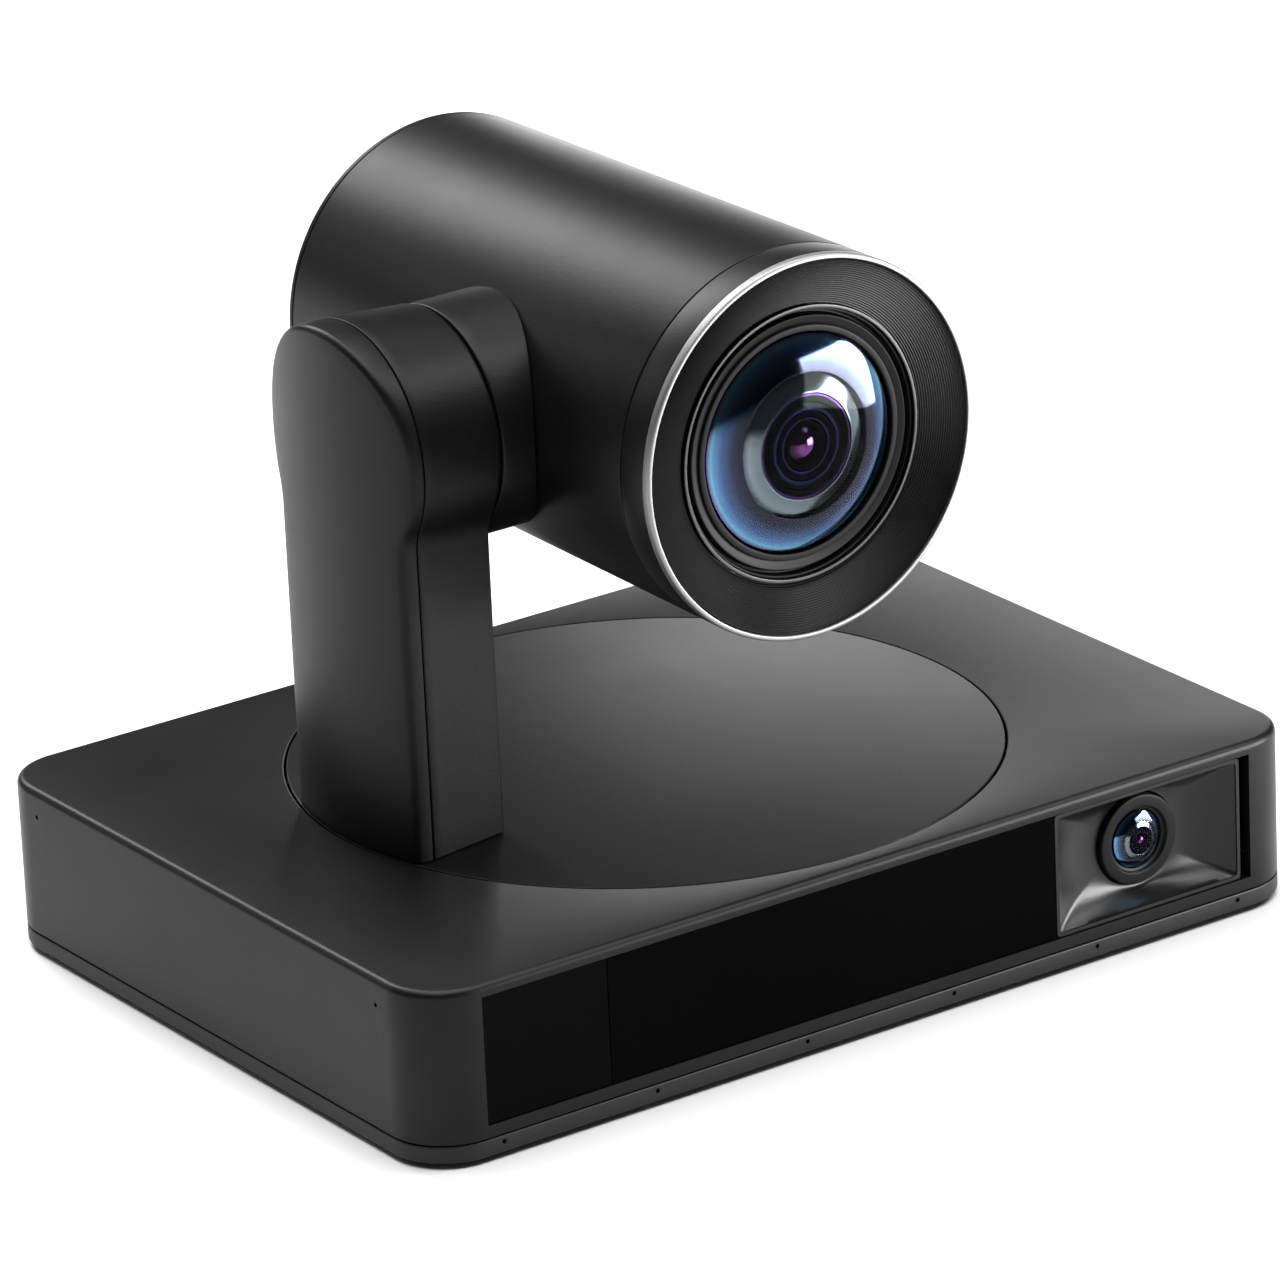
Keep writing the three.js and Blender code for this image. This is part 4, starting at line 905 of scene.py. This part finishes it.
def funnel():
    """From the frame to the throat each row is mouth times (1 - s) plus throat times s, at a
    depth of the sine of a quarter turn of s, to a power."""
    t = np.linspace(0, 2 * np.pi, 256, endpoint=False)
    low = bezel_low[[0, 2]]
    high = bezel_high[[0, 2]] - (SLOT, 0)
    half_u, half_v = (high - low) / 2
    centre = (low + high) / 2
    throat_centre = np.array([X_WIDE, Z_WIDE])
    throat_r = WIDE_R + THROAT_EASE
    y0 = bezel_low[1]
    y_lip = y0 + FRAME_LIP
    y_back = y0 + FUNNEL_BACK

    def row(flat, y):
        return np.stack([flat[:, 0], np.full(len(flat), y), flat[:, 1]], axis=1)

    outer = centre + superellipse(half_u, half_v, 60, t)
    mouth = centre + superellipse(half_u - FRAME_WALL, half_v - FRAME_WALL, 40, t)
    angle = np.arctan2(mouth[:, 1] - throat_centre[1], mouth[:, 0] - throat_centre[0])
    throat = throat_centre + throat_r * np.stack([np.cos(angle), np.sin(angle)], axis=1)
    rows = [row(outer, y0), row(mouth, y0), row(mouth, y_lip)]
    for s in np.linspace(0, 1, 14)[1:]:
        sink = FUNNEL_DEPTH * math.sin(s * math.pi / 2) ** FUNNEL_CURVE
        rows.append(row(mouth * (1 - s) + throat * s, y_lip + sink))
    rows += [row(throat, y_back), row(outer, y_back)]
    return loop_piece("wide_lens_funnel", np.stack(rows) * MM)


wide_funnel = funnel()

# %% [markdown]
# The wide-angle lens is a small copy of the large one: a sloping ring, a glass dome, and the same
# zones at the smaller radius.

# %% Wide lens
WIDE_RISE = 2.0
WIDE_PUPIL_R, WIDE_PUPIL_RISE = 1.3, 0.5


def on_wide(name, profile, sides=96, closed=True):
    return turned(name, profile, "Y", WIDE_AXIS, sides, closed)


def wide_lens():
    y = house_low[1]
    low, high = span("wide_lens_glass")
    r = (high[0] - low[0]) / 2
    barrel_ring = on_wide(
        "wide_lens_ring",
        [
            (WIDE_R, y + 0.2, 0.5),
            (WIDE_R, y + 12, 0),
            (r + 0.2, y + 12, 0),
            (r + 0.2, y + 1.2, 0.2),
            (r + 0.9, y + 1.0, 0.2),
            (r + 1.3, y + 0.1, 0.3),
        ],
    )
    y_edge = y + 1.0
    back = [(r, y + 1.8, 0), (0, y + 1.8, 0)]
    glass = on_wide("wide_front_element", dome(r, y_edge, WIDE_RISE, 16) + back, 96, False)
    small = r / GLASS_R
    curve = (r, y_edge, WIDE_RISE)
    rings = []
    for name, r_out, r_in, sink, tilt in ZONES:
        sizes = (r_out * small, r_in * small, sink * small, tilt)
        rings.append(zone(on_wide, "wide_" + name, *sizes, curve, 96))
    cap_edge = y_edge - WIDE_RISE + PUPIL_GAP + WIDE_PUPIL_RISE
    cap = dome(WIDE_PUPIL_R, cap_edge, WIDE_PUPIL_RISE, 12, 2.0)
    cap += [(WIDE_PUPIL_R, cap_edge + 1, 0), (0, cap_edge + 1, 0)]
    return barrel_ring, glass, rings, on_wide("wide_pupil_element", cap, 64, False)


wide_ring, wide_glass, wide_zones, wide_pupil = wide_lens()

# %% [markdown]
# ## Finishes
# Nearly everything is black, so the finishes differ in gloss and texture rather than in colour.
# Two effects are shared by many materials and are built once as node groups: a fine moulded
# grain, and a slow variation of gloss as fingers and dust leave it.

# %% Shared effects
def new_group(name, inputs, outputs):
    group = bpy.data.node_groups.new(name, "ShaderNodeTree")
    for label, value in inputs:
        socket = group.interface.new_socket(label, in_out="INPUT", socket_type="NodeSocketFloat")
        socket.default_value = value
    for label in outputs:
        group.interface.new_socket(label, in_out="OUTPUT", socket_type="NodeSocketFloat")
    enter = group.nodes.new("NodeGroupInput")
    leave = group.nodes.new("NodeGroupOutput")
    return group, enter, leave


def grain_group():
    """Fine moulded grain: a voronoi cell pattern softened by a noise, as a height."""
    group, enter, leave = new_group("moulded_grain", [("Scale", 2500.0)], ["Height"])
    nodes, links = group.nodes, group.links
    place = nodes.new("ShaderNodeTexCoord")
    cells = nodes.new("ShaderNodeTexVoronoi")
    cells.feature = "SMOOTH_F1"
    noise = nodes.new("ShaderNodeTexNoise")
    noise.inputs["Detail"].default_value = 3.0
    both = nodes.new("ShaderNodeMath")
    both.operation = "ADD"
    for texture in (cells, noise):
        links.new(place.outputs["Object"], texture.inputs["Vector"])
        links.new(enter.outputs["Scale"], texture.inputs["Scale"])
    links.new(cells.outputs["Distance"], both.inputs[0])
    links.new(noise.outputs["Fac"], both.inputs[1])
    links.new(both.outputs[0], leave.inputs["Height"])
    return group


def handling_group():
    """Slow variation between two values, from a large soft noise: gloss left by handling."""
    sockets = [("Scale", 18.0), ("Low", 0.4), ("High", 0.5)]
    group, enter, leave = new_group("handling", sockets, ["Value"])
    nodes, links = group.nodes, group.links
    place = nodes.new("ShaderNodeTexCoord")
    noise = nodes.new("ShaderNodeTexNoise")
    noise.inputs["Detail"].default_value = 5.0
    noise.inputs["Roughness"].default_value = 0.6
    spread = nodes.new("ShaderNodeMapRange")
    spread.inputs["From Min"].default_value = 0.3
    spread.inputs["From Max"].default_value = 0.7
    links.new(place.outputs["Object"], noise.inputs["Vector"])
    links.new(enter.outputs["Scale"], noise.inputs["Scale"])
    links.new(noise.outputs["Fac"], spread.inputs["Value"])
    links.new(enter.outputs["Low"], spread.inputs["To Min"])
    links.new(enter.outputs["High"], spread.inputs["To Max"])
    links.new(spread.outputs["Result"], leave.inputs["Value"])
    return group


GRAIN = grain_group()
HANDLING = handling_group()

# %% [markdown]
# One maker builds every opaque finish. Colour varies a little between two tones, roughness comes
# from the handling group, and the grain drives a bump of a few hundredths of a millimetre.

# %% Finish maker
TONE_SCALE = 35.0  # size of the patches of colour: a few centimetres


def finish(name, tone, tone_2, rough, grain=2500.0, bump=0.02, specular=0.5, metal=0.0):
    """A Principled material: two tones, a (low, high) roughness, and grain as bump in mm."""
    material = bpy.data.materials.new(name)
    material.use_nodes = True
    nodes, links = material.node_tree.nodes, material.node_tree.links
    shader = nodes["Principled BSDF"]
    shader.inputs["Metallic"].default_value = metal
    shader.inputs["Specular IOR Level"].default_value = specular
    tint = nodes.new("ShaderNodeGroup")
    tint.node_tree = HANDLING
    tint.inputs["Scale"].default_value = TONE_SCALE
    tint.inputs["Low"].default_value = 0.0
    tint.inputs["High"].default_value = 1.0
    blend = nodes.new("ShaderNodeMix")
    blend.data_type = "RGBA"
    blend.inputs["A"].default_value = (*tone, 1)
    blend.inputs["B"].default_value = (*tone_2, 1)
    links.new(tint.outputs["Value"], blend.inputs["Factor"])
    links.new(blend.outputs["Result"], shader.inputs["Base Color"])
    gloss = nodes.new("ShaderNodeGroup")
    gloss.node_tree = HANDLING
    gloss.inputs["Low"].default_value = rough[0]
    gloss.inputs["High"].default_value = rough[1]
    links.new(gloss.outputs["Value"], shader.inputs["Roughness"])
    if bump:
        texture = nodes.new("ShaderNodeGroup")
        texture.node_tree = GRAIN
        texture.inputs["Scale"].default_value = grain
        relief = nodes.new("ShaderNodeBump")
        relief.inputs["Strength"].default_value = 1.0
        relief.inputs["Distance"].default_value = bump * MM
        links.new(texture.outputs["Height"], relief.inputs["Height"])
        links.new(relief.outputs["Normal"], shader.inputs["Normal"])
    return material


def grey(value):
    return (value, value, value * 1.02)


SATIN = finish("satin_black", grey(0.0035), grey(0.005), (0.37, 0.42), 2600.0, 0.02, 0.18)
BAND = finish("satin_band", grey(0.007), grey(0.009), (0.42, 0.50), 2600.0, 0.02, 0.3)
GLOSS = finish("gloss_panel", grey(0.0006), grey(0.0009), (0.02, 0.04), bump=0, specular=0.02)
SMOKE = finish("smoked_window", grey(0.0010), grey(0.0014), (0.16, 0.22), bump=0, specular=0.03)
FUNNEL = finish("funnel_black", grey(0.004), grey(0.006), (0.28, 0.34), 2600.0, 0.02, 0.30)
HOOD = finish("hood_black", grey(0.004), grey(0.006), (0.34, 0.40), bump=0, specular=0.16)
OPTIC = finish("blackened", grey(0.005), grey(0.008), (0.36, 0.44), 4000.0, 0.01, 0.12)
RIM = finish("satin_aluminium", grey(0.26), grey(0.30), (0.46, 0.52), 5000.0, 0.003, 0.5, 1.0)
TRIM = finish("dark_aluminium", grey(0.05), grey(0.065), (0.30, 0.36), 5000.0, 0.003, 0.5, 1.0)
RUBBER = finish("foot_rubber", grey(0.016), grey(0.024), (0.75, 0.85), 1800.0, 0.06, 0.3)
STEEL = finish("plain_steel", grey(0.42), grey(0.50), (0.28, 0.38), 4000.0, 0.006, 0.5, 1.0)
PORT = finish("port_metal", grey(0.07), grey(0.10), (0.34, 0.44), 4000.0, 0.006, 0.5, 1.0)
BRASS = finish(
    "brass", (0.55, 0.40, 0.16), (0.62, 0.46, 0.2), (0.25, 0.35), 4000.0, 0.005, 0.5, 1.0
)
BOARD = finish("solder_mask", (0.01, 0.06, 0.03), (0.015, 0.08, 0.04), (0.3, 0.4), 3000.0, 0.01)
MOTOR = finish("motor_case", grey(0.06), grey(0.08), (0.35, 0.45), 3000.0, 0.01, 0.5, 0.8)

# %% [markdown]
# ## Lens finishes
# The front glass is a clear dielectric with a plain Transmission Weight. Its index is set low,
# because a coated glass reflects well under one per cent. A coated element behind it is a
# smooth tinted mirror. Its tint changes from the centre to the edge, because a coating's colour
# shifts with the angle at which light meets the curved surface.

# %% Glass and coatings
COATED_GLASS_IOR = 1.10


def lens_glass():
    material = bpy.data.materials.new("clear_glass")
    material.use_nodes = True
    shader = material.node_tree.nodes["Principled BSDF"]
    shader.inputs["Base Color"].default_value = (1.0, 1.0, 1.0, 1)
    shader.inputs["Roughness"].default_value = 0.0
    shader.inputs["IOR"].default_value = COATED_GLASS_IOR
    shader.inputs["Transmission Weight"].default_value = 1.0
    return material


def coating(name, axis, radius, stops, rough):
    """A mirror whose tint follows the distance from the lens axis, as a share of a radius."""
    material = bpy.data.materials.new(name)
    material.use_nodes = True
    nodes, links = material.node_tree.nodes, material.node_tree.links
    shader = nodes["Principled BSDF"]
    shader.inputs["Metallic"].default_value = 1.0
    shader.inputs["Roughness"].default_value = rough
    place = nodes.new("ShaderNodeTexCoord")
    centred = nodes.new("ShaderNodeMapping")
    centred.vector_type = "POINT"
    centred.inputs["Location"].default_value = (-axis[0], 0, -axis[2])
    flatten = nodes.new("ShaderNodeVectorMath")
    flatten.operation = "MULTIPLY"
    flatten.inputs[1].default_value = (1, 0, 1)
    length = nodes.new("ShaderNodeVectorMath")
    length.operation = "LENGTH"
    share = nodes.new("ShaderNodeMath")
    share.operation = "DIVIDE"
    share.inputs[1].default_value = radius * MM
    ramp = nodes.new("ShaderNodeValToRGB")
    while len(ramp.color_ramp.elements) < len(stops):
        ramp.color_ramp.elements.new(0.5)
    for element, (place_at, tint) in zip(ramp.color_ramp.elements, stops):
        element.position = place_at
        element.color = (*tint, 1)
    links.new(place.outputs["Object"], centred.inputs["Vector"])
    links.new(centred.outputs["Vector"], flatten.inputs[0])
    links.new(flatten.outputs["Vector"], length.inputs[0])
    links.new(length.outputs["Value"], share.inputs[0])
    links.new(share.outputs[0], ramp.inputs["Fac"])
    links.new(ramp.outputs["Color"], shader.inputs["Base Color"])
    return material


GLASS = lens_glass()
OUTER_TINT = [
    (0.66, (0.016, 0.016, 0.022)),
    (0.76, (0.026, 0.032, 0.050)),
    (0.86, (0.050, 0.085, 0.18)),
    (0.93, (0.09, 0.20, 0.36)),
    (0.95, (0.12, 0.30, 0.40)),
    (0.985, (0.10, 0.05, 0.20)),
]
RING_TINT = [(0.48, (0.09, 0.12, 0.14)), (0.60, (0.15, 0.185, 0.21)), (0.65, (0.05, 0.065, 0.085))]
STEP_TINT = [
    (0.17, (0.0004, 0.0004, 0.0005)),
    (0.235, (0.0004, 0.0004, 0.0010)),
    (0.245, (0.014, 0.010, 0.040)),
    (0.26, (0.0004, 0.0004, 0.0010)),
    (0.32, (0.0004, 0.0004, 0.0010)),
    (0.335, (0.010, 0.012, 0.036)),
    (0.36, (0.0004, 0.0010, 0.0008)),
    (0.455, (0.0006, 0.0014, 0.0010)),
    (0.472, (0.045, 0.018, 0.09)),
]
CAP_TINT = [
    (0.0, (0.05, 0.02, 0.10)),
    (0.06, (0.13, 0.04, 0.16)),
    (0.11, (0.06, 0.015, 0.07)),
    (0.16, (0.004, 0.010, 0.008)),
]


def lens_coatings(prefix, axis, radius):
    """The finishes of one lens: outer element, element ring, pupil rings and pupil element."""
    return (
        coating(prefix + "blue_coating", axis, radius, OUTER_TINT, 0.06),
        coating(prefix + "grey_coating", axis, radius, RING_TINT, 0.10),
        coating(prefix + "pupil_coating", axis, radius, STEP_TINT, 0.06),
        coating(prefix + "magenta_coating", axis, radius, CAP_TINT, 0.05),
    )


BIG_COATINGS = lens_coatings("", TILT_AXIS, GLASS_R)
WIDE_TINT_R = 7.4  # the radius that the tints are spread over
WIDE_COATINGS = lens_coatings("wide_", WIDE_AXIS, WIDE_TINT_R)

# %% [markdown]
# ## Putting it together
# Each new piece gets its finish, rides on the body that it belongs to, and stands for the CAD
# node that it replaces. The CAD nodes that stay get a finish by their material slot.

# %% Assign and ride
def fit(piece, material, body, slot, *nodes):
    piece.data.materials.clear()
    piece.data.materials.append(material)
    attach(piece, body)
    if nodes:
        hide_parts(*nodes)
    return piece


fit(shell, SATIN, "base", "satin_body", "base_top_shell")
fit(cover, BAND, "base", "cover_band", "base_bottom_cover")
fit(table, SATIN, "turntable", "satin_body", "turntable")
fit(arm_outside, SATIN, "turntable", "satin_body", "arm_outer_cover")
fit(arm_inside, SATIN, "turntable", "satin_body", "arm_housing")
for piece, node in zip(barrel_pieces, ("barrel_shell", "barrel_rear_cap", "front_bezel")):
    fit(piece, SATIN, "head", "satin_body", node)
fit(rim, RIM, "head", "bright_rim", "bezel_rim")
fit(hood, HOOD, "head", "optic_black", "hood_ring")
fit(retaining_ring, OPTIC, "head", "optic_black", "lens_retainer")
fit(trim_ring, TRIM, "head", "bright_rim")
fit(round_tube, OPTIC, "head", "optic_black", "lens_tube")
fit(front_glass, GLASS, "head", "lens_glass", "front_glass")
ZONE_NODES = {"outer_element": ("lens_cone",), "element_ring": ("second_lens",)}
WIDE_NODES = {"outer_element": ("wide_lens_core",)}


def fit_lens(pieces, pupil, coatings, body, nodes):
    """The zones of a lens take its coatings: the first two their own, the pupil's rings a third."""
    for k, (piece, line) in enumerate(zip(pieces, ZONES)):
        fit(piece, coatings[min(k, 2)], body, "optic_black", *nodes.get(line[0], ()))
    fit(pupil, coatings[3], body, "lens_glass")


fit_lens(zones, pupil_dome, BIG_COATINGS, "head", ZONE_NODES)
fit(neck_piece, SATIN, "head", "satin_body", "neck_collar")
fit(wide_funnel, FUNNEL, "base", "satin_body", "wide_lens_bezel")
fit(wide_ring, OPTIC, "base", "optic_black", "wide_lens_housing")
fit(wide_glass, GLASS, "base", "lens_glass", "wide_lens_glass")
fit_lens(wide_zones, wide_pupil, WIDE_COATINGS, "base", WIDE_NODES)

SLOT_FINISH = {
    "satin_body": SATIN,
    "cover_band": BAND,
    "gloss_panel": GLOSS,
    "optic_black": OPTIC,
    "lens_glass": GLASS,
    "bright_rim": STEEL,
    "rubber_feet": RUBBER,
    "steel": STEEL,
    "brass_insert": BRASS,
    "board": BOARD,
    "motor_case": MOTOR,
}
NODE_FINISH = {"side_window": SMOKE, "pan_belt": RUBBER, "tilt_belt": RUBBER}
NODE_FINISH.update({name: PORT for name in ("lan_port", "hdmi_port", "usb_port")})
for part in frame["record"]["subparts"]:
    node = frame["nodes"][part["node"]]
    material = NODE_FINISH.get(part["node"], SLOT_FINISH[part["material_slot"]])
    node.data.materials.clear()
    node.data.materials.append(material)

# %% [markdown]
# ## Studio
# The floor is plain and pale, and the surroundings are dim, so that black stays black. A large
# soft light from above whitens the floor. A long one behind draws the highlight along the barrel,
# a low card behind on the right brightens the base's top, and a small one stands far behind on the
# left. Of the two in front on the right, the high one draws the front edges and the low one stands
# in the lens; it leaves matt surfaces alone, or it would draw a pool on the floor. The lights are
# hidden from the camera, so they stay out of every view.

# %% Floor, world and lights
FLOOR_REACH = 12.0  # from the middle to each side, in metres
FLOOR_DROP = 0.0001  # keeps the feet from flickering with the floor
FLOOR_GREY = 0.86
WORLD_STRENGTH = 0.05


def add_floor():
    work = bmesh.new()
    bmesh.ops.create_grid(work, x_segments=2, y_segments=2, size=FLOOR_REACH)
    mesh = bpy.data.meshes.new("floor")
    work.to_mesh(mesh)
    work.free()
    floor = bpy.data.objects.new("floor", mesh)
    bpy.context.scene.collection.objects.link(floor)
    floor.location.z = -FLOOR_DROP
    material = bpy.data.materials.new("pale_floor")
    material.use_nodes = True
    shader = material.node_tree.nodes["Principled BSDF"]
    shader.inputs["Base Color"].default_value = (FLOOR_GREY, FLOOR_GREY, FLOOR_GREY, 1)
    shader.inputs["Roughness"].default_value = 0.9
    shader.inputs["Specular IOR Level"].default_value = 0.1
    mesh.materials.append(material)


def add_world(strength):
    world = bpy.data.worlds.new("studio")
    bpy.context.scene.world = world
    world.use_nodes = True
    background = world.node_tree.nodes["Background"]
    background.inputs["Color"].default_value = (1, 1, 1, 1)
    background.inputs["Strength"].default_value = strength


def soft_light(name, place, aim, size, power):
    """A rectangular area light at a place, turned to shine at an aim point."""
    data = bpy.data.lights.new(name, "AREA")
    data.shape = "RECTANGLE"
    data.size, data.size_y = size
    data.energy = power
    light = bpy.data.objects.new(name, data)
    light.visible_camera = False
    turn = (Vector(aim) - Vector(place)).to_track_quat("-Z", "Y").to_matrix().to_4x4()
    light.matrix_world = Matrix.Translation(place) @ turn
    bpy.context.scene.collection.objects.link(light)
    return light


MIDDLE = (0.0, 0.0, 0.09)
add_floor()
add_world(WORLD_STRENGTH)
# name, place, where it shines, size, power in watts
SOFTBOXES = [
    ("top_softbox", (0.0, 0.0, 2.5), MIDDLE, (2.4, 2.4), 104.0),
    ("rear_softbox", (0.0, 1.30, 1.20), (0.0, 0.0, 0.14), (0.56, 1.10), 21.0),
    ("low_card", (0.53, 0.47, 0.17), (0.08, 0.0, 0.04), (0.40, 0.24), 1.0),
    ("front_softbox", (0.75, -0.48, 1.10), MIDDLE, (0.5, 0.5), 6.0),
    ("lens_softbox", (0.40, -0.39, 0.135), (0.0, -0.09, 0.135), (0.34, 0.23), 6.0),
    ("left_softbox", (-1.1, 1.5, 0.85), MIDDLE, (0.4, 0.4), 2.0),
]
studio = {softbox[0]: soft_light(*softbox) for softbox in SOFTBOXES}
studio["lens_softbox"].visible_diffuse = False
bpy.context.scene.view_settings.view_transform = "Standard"

# %% [markdown]
# ## Finish

# %% The last line
print("scene built")
